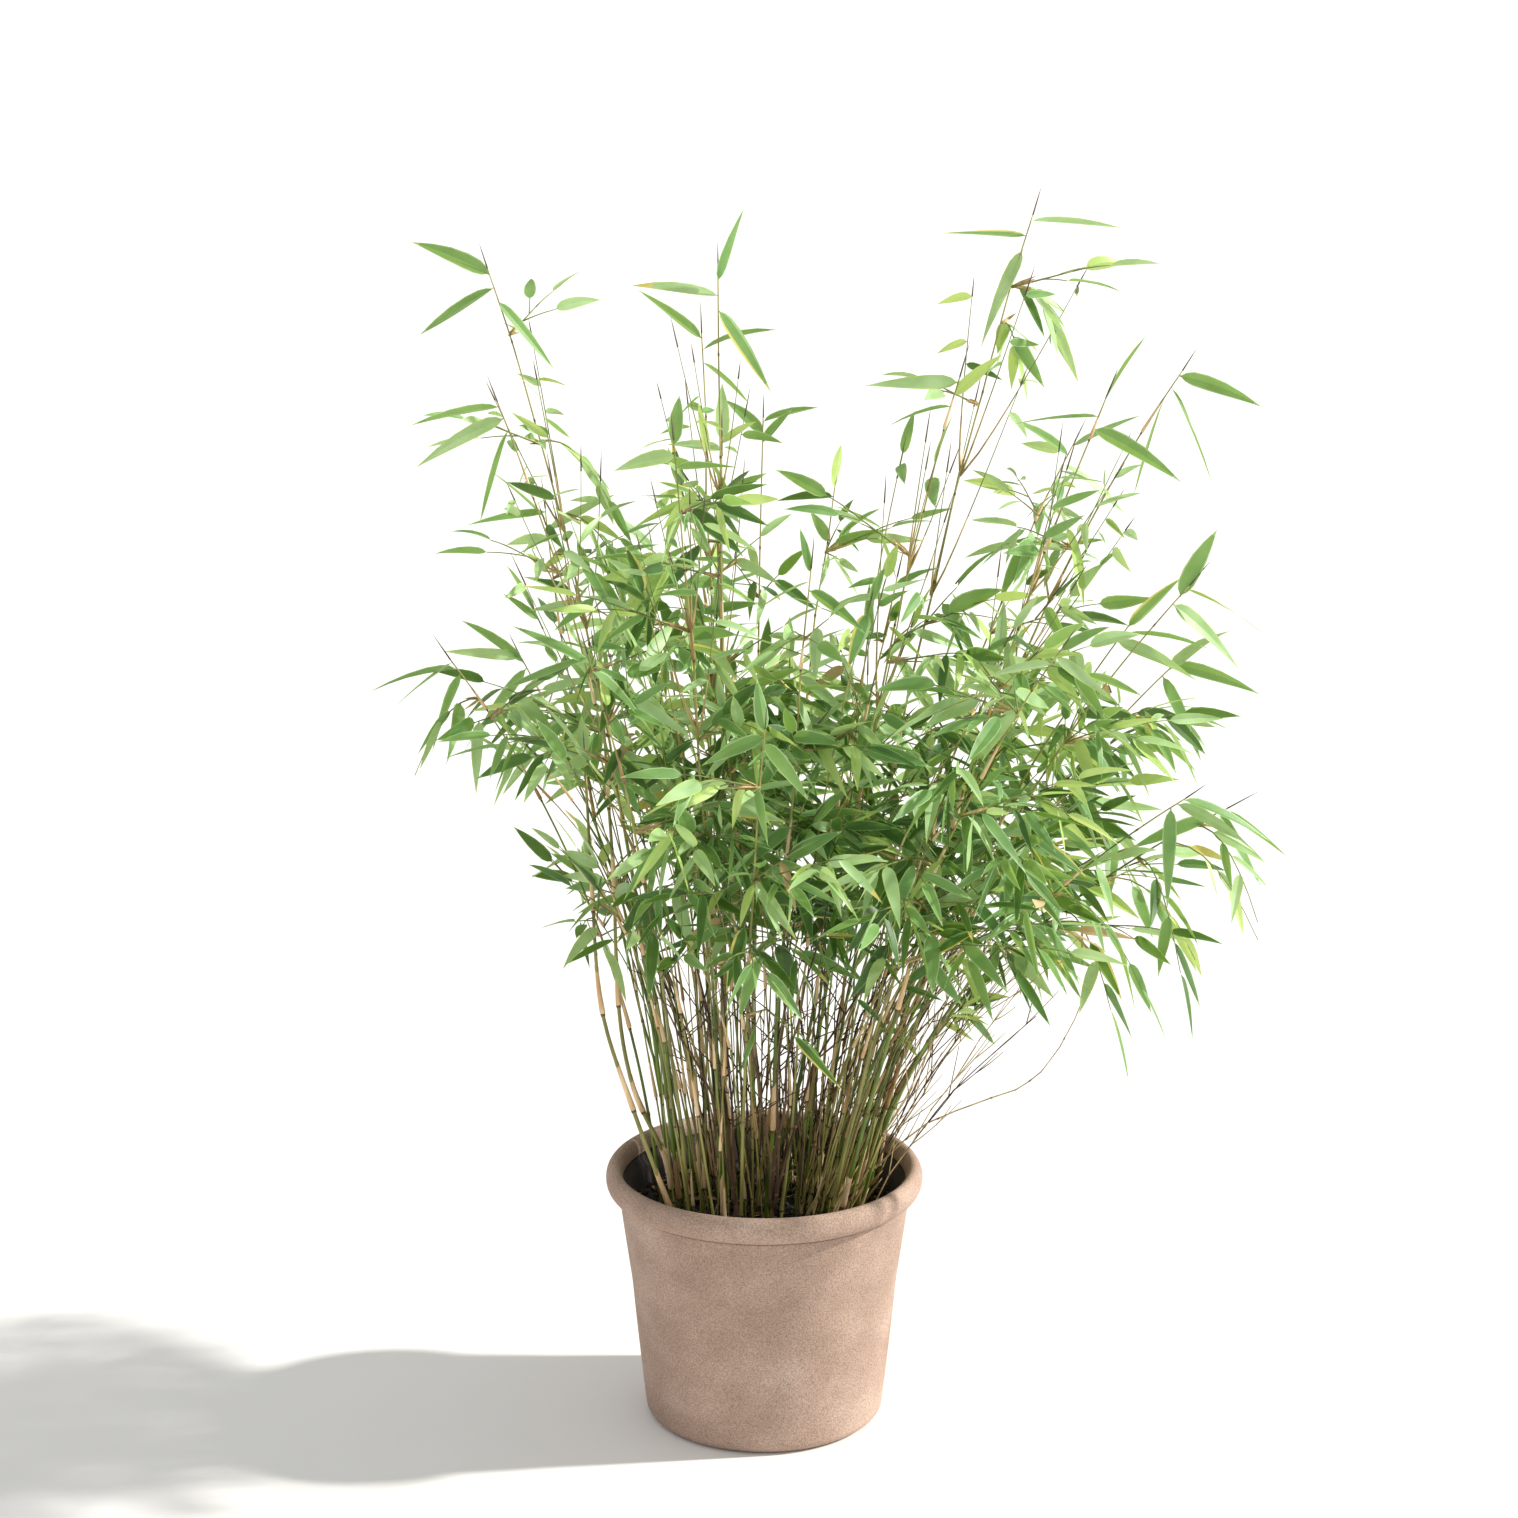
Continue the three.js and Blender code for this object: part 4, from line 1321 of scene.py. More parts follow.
@dataclass
class Pot:
    """The round clay pot: a flat foot, a flared, slightly bulging wall and a thick rolled rim.

    Pairs of numbers are a radius and a height, and those of the groove are set off the neck.
    """

    foot_radius: float = 113.5
    foot_round: float = 10.0
    foot_middle: float = 60.0
    shoulder: Span = (124.5, 134.0)
    neck: Span = (138.0, 222.0)
    neck_drop: float = 2.5
    groove: tuple[Span, ...] = ((-2.6, 1.2), (-2.2, 3.0))
    bulge: float = 1.4
    wall_rings: int = 16
    rim_middle: Span = (142.0, 235.5)
    rim_half: Span = (8.0, 12.5)
    rim_arc: Span = (-68.0, 205.0)
    inner_neck: Span = (128.0, 220.0)
    inner_wall: Span = (125.5, 206.0)
    inner_foot: Span = (122.0, 190.0)
    oval: float = 0.0012
    waver: float = 0.0008
    turns: int = 144
    crease: float = 35.0

    def profile(self) -> tuple[Vec, int]:
        """Draw half of the pot's section, from the middle of the foot up and into the pot.

        Returns:
            The section's radii and heights, and how many of its points are outside.
        """
        centre = self.foot_radius - self.foot_round
        arc = np.linspace(-math.pi / 2, 0, 7)
        foot = [(centre + self.foot_round * math.cos(a), self.foot_round * (1 + math.sin(a)))
                for a in arc]
        knots = np.array([foot[-1], self.shoulder, self.neck])
        heights = np.linspace(knots[0][1], knots[-1][1], self.wall_rings)[1:]
        bulge = self.bulge * np.sin(np.linspace(0, math.pi, self.wall_rings)[1:])
        wall = [(float(np.interp(z, knots[:, 1], knots[:, 0])) + float(b), float(z))
                for z, b in zip(heights, bulge)]
        rim = [(self.rim_middle[0] + self.rim_half[0] * math.cos(a),
                self.rim_middle[1] + self.rim_half[1] * math.sin(a))
               for a in np.linspace(*np.radians(self.rim_arc), 20)]
        groove = [(self.neck[0] + out, self.neck[1] + up) for out, up in self.groove]
        outside = [(0.0, 0.0), (self.foot_middle, 0.0), *foot, *wall[:-1],
                   (wall[-1][0], self.neck[1] - self.neck_drop), *groove, *rim]
        inside = [self.inner_neck, self.inner_wall, self.inner_foot, (0.0, self.inner_foot[1])]
        return np.array(outside + inside), len(outside)

    def build(self) -> None:
        """Turn the section round the pot's middle line."""
        profile, outside = self.profile()
        angles = np.arange(self.turns) * math.tau / self.turns
        wobble = 1 + self.oval * np.sin(2 * angles + 0.8) + self.waver * np.sin(5 * angles)
        radii = profile[:, 0][:, None] * wobble
        rings = np.stack([radii * np.cos(angles), radii * np.sin(angles),
                          np.broadcast_to(profile[:, 1][:, None], radii.shape)], axis=-1)
        # The rim's inner edge and the inner wall take the inside finish of damp clay and painted
        # shade.
        slots = np.repeat(np.arange(len(profile) - 1) >= outside - 2, self.turns).astype(int)
        stock = MeshStock("clay_pot", [CLAY.material(), INNER_CLAY_DAMP_AND_SHADE.material()])
        stock.add(rings.reshape(-1, 3), ring_quads(len(profile), self.turns), None, slots)
        stock.build("clay", ("pot",), self.crease)


@dataclass
class Compost:
    """The crumbly bed in the pot, with loose crumbs and dry litter on it."""

    top: float = 206.0
    radius: float = 126.0
    scatter_share: float = 0.975
    rings: int = 40
    turns: int = 120
    swell: float = 2.6
    ripple: float = 1.6
    roughness: float = 1.1
    skirt_share: float = 0.985
    underside: float = 192.0
    seed: int = 301
    crumbs: int = 1500
    crumb_sides: int = 5
    crumb_size: Span = (1.2, 5.2)
    crumb_smallness: float = 2.4
    crumb_ring_z: Span = (-0.3, 0.45)
    crumb_pole_z: Span = (-0.7, 0.85)
    litter_seed: int = 308
    flakes: int = 130

    def height(self, x: Vec, y: Vec) -> Vec:
        """Give the bed's height at places across it.

        Args:
            x: The places' first coordinates.
            y: The places' second coordinates.

        Returns:
            The heights.
        """
        swells = self.swell * np.sin(x / 19 + 1.3) * np.cos(y / 23 - 0.4)
        ripples = self.ripple * np.sin(x / 7.3 + y / 9.1)
        rough = self.roughness * np.sin(x / 2.9 + 3 * np.sin(y / 5.1))
        rough = rough * np.cos(y / 2.3 + 2 * np.sin(x / 4.3))
        return self.top - 1.0 + (swells + ripples) + rough

    def scattered(self, dice: Dice) -> Vec:
        """Choose a place on the bed."""
        way = level_way(dice.bearing())
        place = way * (self.radius * math.sqrt(dice.next()) * self.scatter_share)
        place[2] = self.height(place[0], place[1])
        return place

    def build(self) -> None:
        """Build the bed, its crumbs and its litter."""
        self.build_bed()
        self.build_crumbs()
        self.build_litter()

    def build_bed(self) -> None:
        """Build the bed's uneven top, and its flat hidden underside."""
        out = np.linspace(0.5, self.radius, self.rings)[:, None]
        angles = np.arange(self.turns) * math.tau / self.turns
        x, y = out * np.cos(angles), out * np.sin(angles)
        rows = np.stack([x, y, self.height(x, y)], axis=-1)
        skirt = rows[-1:] * [self.skirt_share, self.skirt_share, 0] + UP * self.underside
        rings = np.concatenate([rows, skirt, skirt * [0.01, 0.01, 1]])
        stock = MeshStock("compost_bed", [COMPOST.material()])
        stock.add(rings.reshape(-1, 3), ring_quads(len(rings), self.turns)[:, ::-1])
        stock.build("compost", ("soil",))

    def build_crumbs(self) -> None:
        """Scatter small rough crumbs over the bed: two rings of corners, and two poles."""
        dice, sides = Dice(self.seed), self.crumb_sides
        stock = MeshStock("compost_crumbs", [CRUMB.material()])
        around = np.arange(sides) * math.tau / sides
        low_z, high_z = self.crumb_ring_z
        bottom, peak = self.crumb_pole_z
        caps = [[sides + k, sides + (k + 1) % sides, 2 * sides] for k in range(sides)]
        caps += [[(k + 1) % sides, k, 2 * sides + 1] for k in range(sides)]
        for _ in range(self.crumbs):
            size = lerp(*self.crumb_size, dice.next() ** self.crumb_smallness)
            middle = self.scattered(dice) + UP * size * 0.35
            low, high = dice.between(0.7, 1.1), dice.between(0.6, 1)
            spin = dice.bearing()
            lower = np.array([level_way(a + spin) for a in around]) + UP * low_z
            upper = np.array([level_way(a + spin + 0.6) for a in around]) + UP * high_z
            rough = np.array([dice.between(0.75, 1.2) for _ in range(2 * sides)])[:, None]
            body = np.concatenate([lower * low, upper * high]) * rough
            points = np.concatenate([body, [UP * peak, UP * bottom]]) * size
            stock.add(points + middle, ring_quads(2, sides), np.array(caps))
        stock.build("compost")

    def build_litter(self) -> None:
        """Scatter dry leaf bits and twig ends over the bed."""
        dice = Dice(self.litter_seed)
        stock = MeshStock("litter", [LITTER.material(), STRAW_STEM.material()])
        for index in range(self.flakes):
            root = self.scattered(dice) + UP * dice.between(1, 3.5)
            way = unit(level_way(dice.bearing()) + UP * dice.between(-0.05, 0.3))
            length = dice.between(8, 26)
            end = root + way * length
            if math.hypot(end[0], end[1]) > self.radius - 3:
                way[:2] *= -1
            if index % 2:
                width, roll = dice.between(2, 6), dice.either(0.5)
                Blade(root, way, length, width, roll, 0.1, 0.3, 0.4).add_to(stock, SCALE_SHAPE)
            else:
                points = arched(root, way, length, 0, column(3))
                stock.add_tube(points, np.array([0.9, 0.8, 0.6]), 5, index % 4 // 2)
        stock.build("compost")


@dataclass
class Canes:
    """The green canes with their rings and papery sheaths, and thinner shoots among them."""

    growth: Growth
    seed: int = 4000
    foot_radius: float = 2.4
    tip_radius: float = 0.6
    foot_sink: float = 6.0
    olive_canes: float = 0.35
    sides: int = 10
    shoot_seed: int = 9000
    shoots_per_cane: int = 4
    shoot_radius: float = 1.35
    shoot_tip_radius: float = 0.5
    shoot_narrow: float = 0.45
    shoot_sides: int = 7
    foot_limit: float = 112.0
    straw_x: float = 200.0
    straw_right: float = 0.55
    straw_left: float = 0.3
    olive_shoots: float = 0.5
    culm_seed: int = 7000
    sheathed: float = 0.34
    sheath_length: Span = (30.0, 52.0)
    sheath_sides: int = 9
    rusty: float = 0.25
    shoots: list[Stem] = field(default_factory=list)

    def build(self) -> None:
        """Build the canes and shoots, then their sheaths."""
        finishes = [made.material() for made in CANE_FINISHES]
        self.stock = MeshStock("green_canes", finishes)
        self.thin_stock = MeshStock("thin_shoots", finishes)
        self.sheaths = MeshStock("cane_sheaths", [made.material() for made in SHEATH_FINISHES])
        for cane in self.growth.canes:
            self.add_cane(cane)
            for index in range(self.shoots_per_cane):
                self.add_shoot(cane, index)
        for index, culm in enumerate(SIDE_CULMS):
            dice = Dice(self.culm_seed + index * 419)
            self.add_side_culm(np.array(culm, float), dice)
        self.stock.build("cane", tuple(cane.name for cane in self.growth.canes))
        self.thin_stock.build("cane")
        self.sheaths.build("cane")

    def add_cane(self, cane: CaneRule) -> None:
        """Add one cane and its sheaths."""
        dice = Dice(self.seed + cane.index * 613)
        course = np.array([cane.point(share) for share in np.linspace(0, 1, 40)])
        course[0] -= UP * self.foot_sink
        radius = self.foot_radius * dice.between(0.68, 1.06)
        stem = Stem(course, radius, self.tip_radius, dice)
        slot = CaneSlot.OLIVE if dice.chance(self.olive_canes) else CaneSlot.GREEN
        stem.add_to(self.stock, self.sides, slot, CaneSlot.RING, CaneSlot.STRAW)
        self.dress(stem, dice)

    def add_shoot(self, cane: CaneRule, index: int) -> None:
        """Add a thinner shoot that follows a cane and leans off it.

        Args:
            cane: The cane that it grows beside.
            index: The shoot's number on that cane.
        """
        dice = Dice(self.shoot_seed + cane.index * 3181 + index * 977)
        out = level_way(dice.bearing())
        foot_out = level_way(dice.bearing())
        foot = cane.handles[0] * (0.75, 0.85, 1) + foot_out * dice.between(8, 40)
        foot[:2] *= min(1.0, self.foot_limit / math.hypot(foot[0], foot[1]))
        shift = foot - cane.handles[0]
        reach = dice.between(0.42, 0.8)
        lean = dice.between(12, 68)
        shares = np.linspace(0, 1, 26)
        course = np.array([cane.point(reach * t) + shift * (1 - t) ** 0.8 + out * lean * t**1.4
                           for t in shares])
        upright = course[0] + (course - course[0]) * (self.shoot_narrow, self.shoot_narrow, 1)
        blend = np.sin(math.pi * shares)[:, None] * dice.between(0.15, 0.6)
        course += (upright - course) * blend
        course[0] -= UP * self.foot_sink
        radius = self.shoot_radius * dice.between(0.55, 1.15)
        stem = Stem(course, radius, min(radius, self.shoot_tip_radius), dice)
        is_right = cane.handles[3][0] > self.straw_x
        if dice.chance(self.straw_right if is_right else self.straw_left):
            slot = CaneSlot.STRAW
        else:
            slot = CaneSlot.OLIVE if dice.chance(self.olive_shoots) else CaneSlot.GREEN
        stem.add_to(self.thin_stock, self.shoot_sides, slot, CaneSlot.RING, CaneSlot.STRAW)
        self.dress(stem, dice)
        self.shoots.append(stem)

    def add_side_culm(self, knots: Vec, dice: Dice) -> None:
        """Add one of the bare culms that stand off on the left.

        Args:
            knots: The culm's course.
            dice: Its own run of numbers.
        """
        marks, fine = np.linspace(0, 1, len(knots)), np.linspace(0, 1, 40)
        course = np.stack([np.interp(fine, marks, knots[:, axis]) for axis in range(3)], axis=-1)
        for _ in range(6):
            course[1:-1] = (course[:-2] + 2 * course[1:-1] + course[2:]) / 4
        stem = Stem(course, self.foot_radius, 1.3, dice)
        stem.add_to(self.stock, self.sides, CaneSlot.OLIVE, CaneSlot.RING)
        for node in stem.nodes:
            length = dice.within(self.sheath_length)
            stem.add_sheath(self.sheaths, node, length, self.sheath_sides, SheathSlot.PALE)
        self.shoots.append(stem)

    def dress(self, stem: Stem, dice: Dice) -> None:
        """Add sheaths at some of a stem's nodes, shorter ones higher up.

        Args:
            stem: The stem.
            dice: Its own run of numbers.
        """
        for node in stem.nodes:
            if dice.chance(self.sheathed):
                shortening = lerp(1, 0.7, node / stem.length)
                length = dice.within(self.sheath_length) * shortening
                slot = SheathSlot.RUSTY if dice.chance(self.rusty) else SheathSlot.PALE
                stem.add_sheath(self.sheaths, node, length, self.sheath_sides, slot)


@dataclass
class DryStems:
    """The brown dead stems: those of the frame's stumps, thin ones among them, and a low fan."""


    growth: Growth
    seed: int = 611
    internode: Span = (34.0, 70.0)
    zigzag: float = 1.6
    sides: int = 7
    twig_sides: int = 5
    stump_sink: float = 6.0
    stump_swell: float = 1.05
    thin_count: int = 60
    clump_x: float = 12.0
    clump_radius: float = 66.0
    thin_foot_z: float = 200.0
    crossing: float = 0.3
    thin_straw: float = 0.3
    foot_z: float = 202.0
    fan_count: int = 16
    fan_straw: float = 0.75
    stub_count: int = 26
    fan: list[Stem] = field(default_factory=list)

    def build(self) -> None:
        """Build all dry stems as one piece."""
        self.stock = MeshStock("dry_stems", [made.material() for made in DRY_FINISHES])
        self.dice = Dice(self.seed)
        for stem in self.growth.stems:
            self.add_stump(stem)
        for _ in range(self.thin_count):
            self.add_thin()
        for index in range(self.fan_count):
            self.add_fan_stem(index)
        sweep = self.add_stem(np.array(LOW_SWEEP, float), 1.0, 0.5, DrySlot.STRAW)
        for node in sweep.nodes[1:3]:
            length = self.dice.between(30, 50)
            self.add_branch(sweep.place(node), sweep.way_at(node), length, DrySlot.STRAW, 0)
        for _ in range(self.stub_count):
            self.add_stub()
        self.stock.build("bare_stem", tuple(stem.name for stem in self.growth.stems))

    def add_stem(self, course: Vec, radius: float, tip: float, slot: DrySlot) -> Stem:
        """Add one jointed dry stem.

        Args:
            course: Its course.
            radius: Its radius at its foot.
            tip: Its radius at its tip.
            slot: Its finish.

        Returns:
            The stem.
        """
        stem = Stem(course, radius, tip, self.dice, self.internode, self.zigzag)
        stem.add_to(self.stock, self.sides, slot, DrySlot.RING)
        return stem

    def add_side_twigs(self, stem: Stem, count: int) -> None:
        """Add thin dry twigs that leave a stem at its upper nodes.

        Args:
            stem: The stem.
            count: How many there are at most.
        """
        for node in stem.nodes[-count:]:
            out = level_way(self.dice.bearing()) + UP * self.dice.between(-0.1, 0.5)
            heading = unit(stem.way_at(node) * 0.8 + out)
            length = self.dice.between(25, 62)
            points = arched(stem.place(node), heading, length, -0.12, column(4))
            self.stock.add_tube(points, np.linspace(0.8, 0.35, 4), self.twig_sides, DrySlot.BROWN)

    def add_stump(self, stem: BareStemRule) -> None:
        """Add a stump with its rods and their side twigs."""
        foot, top = stem.stump.joints
        course = np.linspace(foot - UP * self.stump_sink, top, 5)
        radius = stem.radius * self.stump_swell
        self.add_stem(course, radius, stem.radius * 0.8, DrySlot.BROWN)
        for rod in stem.rods:
            course = np.array([rod.point_at(t) for t in np.linspace(0, 1, 9)])
            radius = stem.rod_radius * self.stump_swell
            self.add_side_twigs(self.add_stem(course, radius, 0.7, DrySlot.BROWN), 3)

    def add_thin(self) -> None:
        """Add one thin dead stem from the clump."""
        turn = self.dice.bearing()
        foot = level_way(turn) * (self.clump_radius * math.sqrt(self.dice.next()))
        foot += [self.clump_x, 0, self.thin_foot_z]
        rise = self.dice.between(110, 330)
        is_crossing = self.dice.chance(self.crossing)
        turn = turn + (math.pi if is_crossing else 0.0) + self.dice.either(1.3)
        reach = rise * self.dice.between(0.02, 0.36) * (1.6 if is_crossing else 1)
        shares = column(10)
        course = foot + UP * rise * shares + level_way(turn) * reach * shares**1.5
        radius = self.dice.between(0.5, 1.2)
        slot = DrySlot.STRAW if self.dice.chance(self.thin_straw) else DrySlot.BROWN
        self.add_side_twigs(self.add_stem(course, radius, radius * 0.45, slot), 2)

    def add_fan_stem(self, index: int) -> None:
        """Add one stem of the dry fan that leans out over the rim on the right.

        Args:
            index: The stem's number in the fan, from 0 for the lowest.
        """
        share = index / (self.fan_count - 1)
        foot_x = lerp(96, 52, share) + self.dice.either(14)
        foot = np.array([foot_x, self.dice.between(-70, 45), self.foot_z])
        tip = np.array([lerp(262, 178, share), foot[1] * 1.5, lerp(385, 560, share**0.6)])
        tip[0] += self.dice.between(-34, 14)
        tip[2] += self.dice.either(20)
        bend = np.array([lerp(140, 100, share), foot[1] * 1.2, lerp(292, 335, share)])
        shares = column(14)
        course = foot * (1 - shares) ** 2 + bend * 2 * shares * (1 - shares) + tip * shares**2
        slot = DrySlot.STRAW if self.dice.chance(self.fan_straw) else DrySlot.BROWN
        stem = self.add_stem(course, self.dice.between(0.65, 1.1), 0.4, slot)
        for node in stem.nodes[1:]:
            length = self.dice.between(40, 95)
            self.add_branch(stem.place(node), stem.way_at(node), length, slot, 1)
        self.fan.append(stem)

    def add_branch(self, root: Vec, way: Vec, length: float, slot: DrySlot, forks: int) -> None:
        """Add a fine dry branch that turns upwards and may fork again.

        Args:
            root: Where it leaves its stem.
            way: The stem's direction there.
            length: The branch's length.
            slot: Its finish.
            forks: How many times it forks.
        """
        out = level_way(self.dice.bearing()) + UP * self.dice.between(-0.1, 0.6)
        heading = unit(way + out * 0.55)
        points = arched(root, heading, length, 0.12, column(5))
        self.stock.add_tube(points, np.linspace(0.6, 0.3, 5), self.twig_sides, slot)
        if forks:
            self.add_branch(points[2], heading, length * 0.6, slot, forks - 1)

    def add_stub(self) -> None:
        """Add a short pale stub, the cut or dead foot of an old stem."""
        foot = level_way(self.dice.either(0.9)) * self.dice.between(45, 108)
        foot[2] = self.foot_z
        lean_x, lean_y = self.dice.between(0.1, 0.9), self.dice.either(0.4)
        way = unit(np.array([lean_x, lean_y, 1.0]))
        course = arched(foot, way, self.dice.between(22, 64), 0, column(4))
        radii = np.array([1.6, 2.0, 1.4, 0.5]) * self.dice.between(0.7, 1.2)
        self.stock.add_tube(course, radii, self.sides, DrySlot.STRAW, 5)


@dataclass
class Foliage:
    """All leaves and fine twigs, in joined pieces, one for each kind and tint."""

    growth: Growth
    canes: Canes
    dry: DryStems
    seed: int = 77
    full_below: float = 700.0
    bare_above: float = 960.0
    valley_x: float = 98.0
    valley_width: float = 82.0
    valley_depth: float = 230.0
    left_edge_x: float = -133.0
    left_edge_z: float = 405.0
    left_edge_lean: float = 0.42
    left_edge_fade: float = 45.0
    left_edge_least: float = 0.1
    left_edge_below: float = 650.0
    low_start: float = 430.0
    low_full: float = 570.0
    core_x: float = 50.0
    core_radius: float = 205.0
    core_fade: float = 90.0
    core_least: float = 0.3
    fullest: float = 2.2
    openness: float = 1.3
    view_distance: float = 3029.0
    view_height: float = 1414.0
    redealt: float = 0.35
    yellow_share: float = 0.008
    dry_share: float = 0.006
    yellow_below: float = 740.0
    # Painted light and shade on the leaves: sprays grow paler with height and outwards from the
    # crown's middle, and darker deep inside and low down.
    painted_light_from: float = 490.0
    painted_light_span: float = 600.0
    painted_light_rise: float = 2.1
    painted_light_outwards: float = 0.3
    painted_light_middle: float = 0.4
    most_painted_light: float = 0.83
    leaf_length: Span = (36.0, 62.0)
    leaf_slimness: Span = (0.16, 0.27)
    long_leaf_width: float = 0.76
    leaf_roll: float = 1.5
    leaf_sag: Span = (0.03, 0.24)
    leaf_lift: float = 0.7
    leaf_fold: Span = (0.08, 0.45)
    leaf_twist: float = 0.8
    dry_tip_share: float = 0.02
    dry_edge_share: float = 0.025
    twig_droop: float = 0.1
    most_side_leaves: float = 3.2
    most_fine_twigs: float = 3.4
    count_scatter: Span = (0.7, 1.2)
    fine_room: float = 45.0
    bundled_above: float = 940.0
    bundle_places: tuple[Span, ...] = ((0.55, 0.62), (0.68, 0.76))
    bundle_branches: int = 3
    bundle_clearance: float = 60.0

    def build(self) -> None:
        """Grow every spray and twig, then build the pieces."""
        made = {tint: LEAF_FINISHES[tint].material() for tint in Tint}
        paler = {Tint.DEEP: Tint.MID, Tint.MID: Tint.LIGHT, Tint.LIGHT: Tint.FRESH}
        # In the order of LeafSlot: the face, the paler margin and the dry parts.
        self.leaves = {tint: MeshStock(tint.piece, [made[tint], made[paler.get(tint, tint)],
                                                    made[Tint.YELLOW]]) for tint in Tint}
        self.twigs = MeshStock("leafy_twigs", [TWIG.material()])
        self.bracts = MeshStock("twig_bracts", [BRACT.material(), STRAW_STEM.material()])
        self.tips = MeshStock("rolled_tips", [ROLLED_TIP.material()])
        self.dice = Dice(self.seed)
        self.leaf_count = 0
        for mass in self.growth.masses:
            self.add_mass(mass)
        for stem in self.canes.shoots:
            self.add_shoot(stem)
        for stem in self.dry.fan[5::2]:
            self.add_low_sprigs(stem)
        for index, share, bearing, length in HANGING_SHOOTS:
            root = self.growth.canes[index].point(share)
            self.add_hanging_shoot(root, math.radians(bearing), length)
        for cane in self.growth.canes:
            if cane.handles[3][2] > self.bundled_above:
                for place in self.bundle_places:
                    self.add_bundle(cane, self.dice.within(place))
        masses = tuple(mass.name for mass in self.growth.masses)
        for tint, stock in self.leaves.items():
            stock.build("foliage", masses if tint is Tint.MID else (), 22)
        self.twigs.build("foliage")
        self.bracts.build("foliage")
        self.tips.build("foliage")
        log.info("leaves: %d", self.leaf_count)

    def trend(self, point: Vec) -> float:
        """Tell how much fuller or thinner the crown is at a place than its rule gives.

        Args:
            point: The place, which is carried along the front view's line of sight to the
                upright plane through the pot's middle.

        Returns:
            The gain, below 0 where sky shows and above 0 where the crown is fuller.
        """
        share = self.view_distance / (self.view_distance + point[1])
        x, z = point[0] * share, self.view_height + (point[2] - self.view_height) * share
        return sum(patch.at(x, z) for patch in CROWN_PATCHES)

    def is_open(self, point: Vec) -> bool:
        """Tell, with some chance, if a twig is left out at a place where sky shows."""
        return not self.dice.chance(1 + self.openness * min(0.0, self.trend(point)))

    def outwards(self, point: Vec) -> float:
        """Measure how far out of the crown's middle line a place is."""
        return math.hypot(point[0] - self.core_x, point[1])

    def fullness(self, point: Vec) -> float:
        """Tell how full the crown is at a place.

        It thins out towards the cane tips, in the valley between the two groups of tall canes,
        and at the crown's underside.

        Args:
            point: The place.

        Returns:
            0 where the crown is bare, 1 where it is full, and more where a patch is fuller still.
        """
        aside = (point[0] - self.valley_x) / self.valley_width
        bare = self.bare_above - self.valley_depth * math.exp(-(aside**2))
        high = (bare - point[2]) / (self.bare_above - self.full_below)
        low = (point[2] - self.low_start) / (self.low_full - self.low_start)
        core = clamp(1 - (self.outwards(point) - self.core_radius) / self.core_fade,
                     self.core_least, 1)
        inside = 1.0
        if point[2] < self.left_edge_below:
            edge = self.left_edge_x - (point[2] - self.left_edge_z) * self.left_edge_lean
            inside = clamp((point[0] - edge) / self.left_edge_fade + 0.5, self.left_edge_least, 1)
        plain = clamp(high, 0, 1) * clamp(low, 0, 1) * core * inside
        return clamp(plain + self.trend(point), 0, self.fullest)

    def deal(self, point: Vec) -> Tint:
        """Deal out a tint for a spray at a place: darker deep inside and low in the crown as
        painted shade, paler high up and outside as painted light.
        """
        roll = self.dice.next() if point[2] < self.yellow_below else 1.0
        if roll < self.yellow_share + self.dry_share:
            return Tint.YELLOW if roll < self.yellow_share else Tint.DRY
        # Painted light and shade: the level rises with height and outwards, for paler sprays high
        # and outside and darker ones deep inside.
        high = self.painted_light_rise * (point[2] - self.painted_light_from) / self.painted_light_span
        out = self.outwards(point) / self.core_radius - self.painted_light_middle
        level = clamp(high + self.painted_light_outwards * out, 0, self.most_painted_light)
        pick = self.dice.next()
        for tint in (Tint.DEEP, Tint.MID, Tint.LIGHT):
            pick -= tint.share(level)
            if pick < 0:
                return tint
        return Tint.FRESH

    def add_leaf(self, root: Vec, way: Vec, length: float, tint: Tint) -> None:
        """Add one leaf.

        Args:
            root: Where the leaf leaves its twig.
            way: The direction of its tip.
            length: Its length.
            tint: The spray's tint.
        """
        is_long = length > self.leaf_length[1]
        if self.dice.chance(self.redealt) and not is_long:
            tint = self.deal(root)
        width = length * self.dice.within(self.leaf_slimness)
        width *= self.long_leaf_width if is_long else 1
        sag = self.dice.within(self.leaf_sag)
        blade = Blade(root, unit(way + UP * sag * self.leaf_lift), length, width,
                      self.dice.either(self.leaf_roll), sag, self.dice.within(self.leaf_fold),
                      self.dice.either(self.leaf_twist), int(self.dice.chance(self.dry_tip_share)),
                      self.dice.chance(self.dry_edge_share), True)
        blade.add_to(self.leaves[tint], LEAF_SHAPE)
        self.leaf_count += 1

    def add_leaf_inside(self, root: Vec, way: Vec, length: float, tint: Tint) -> None:
        """Add one leaf if its tip stays inside the crown.

        Args:
            root: Where the leaf leaves its twig.
            way: The direction of its tip.
            length: Its length.
            tint: The spray's tint.
        """
        if self.growth.crown.holds(root + way * length):
            self.add_leaf(root, way, length, tint)

    def swung(self, way: Vec, turn_to: int, swing: Span, sink: Span) -> Vec:
        """Turn a direction to one side and let it hang, both by a dice draw.

        Args:
            way: The direction.
            turn_to: The side that it turns to, 1 or -1.
            swing: The limits of the turn in radians.
            sink: The limits of how far it then hangs.

        Returns:
            The new direction.
        """
        turn, drop = turn_to * self.dice.within(swing), self.dice.within(sink)
        return unit(way * math.cos(turn) + side_of(way) * math.sin(turn) - UP * drop)

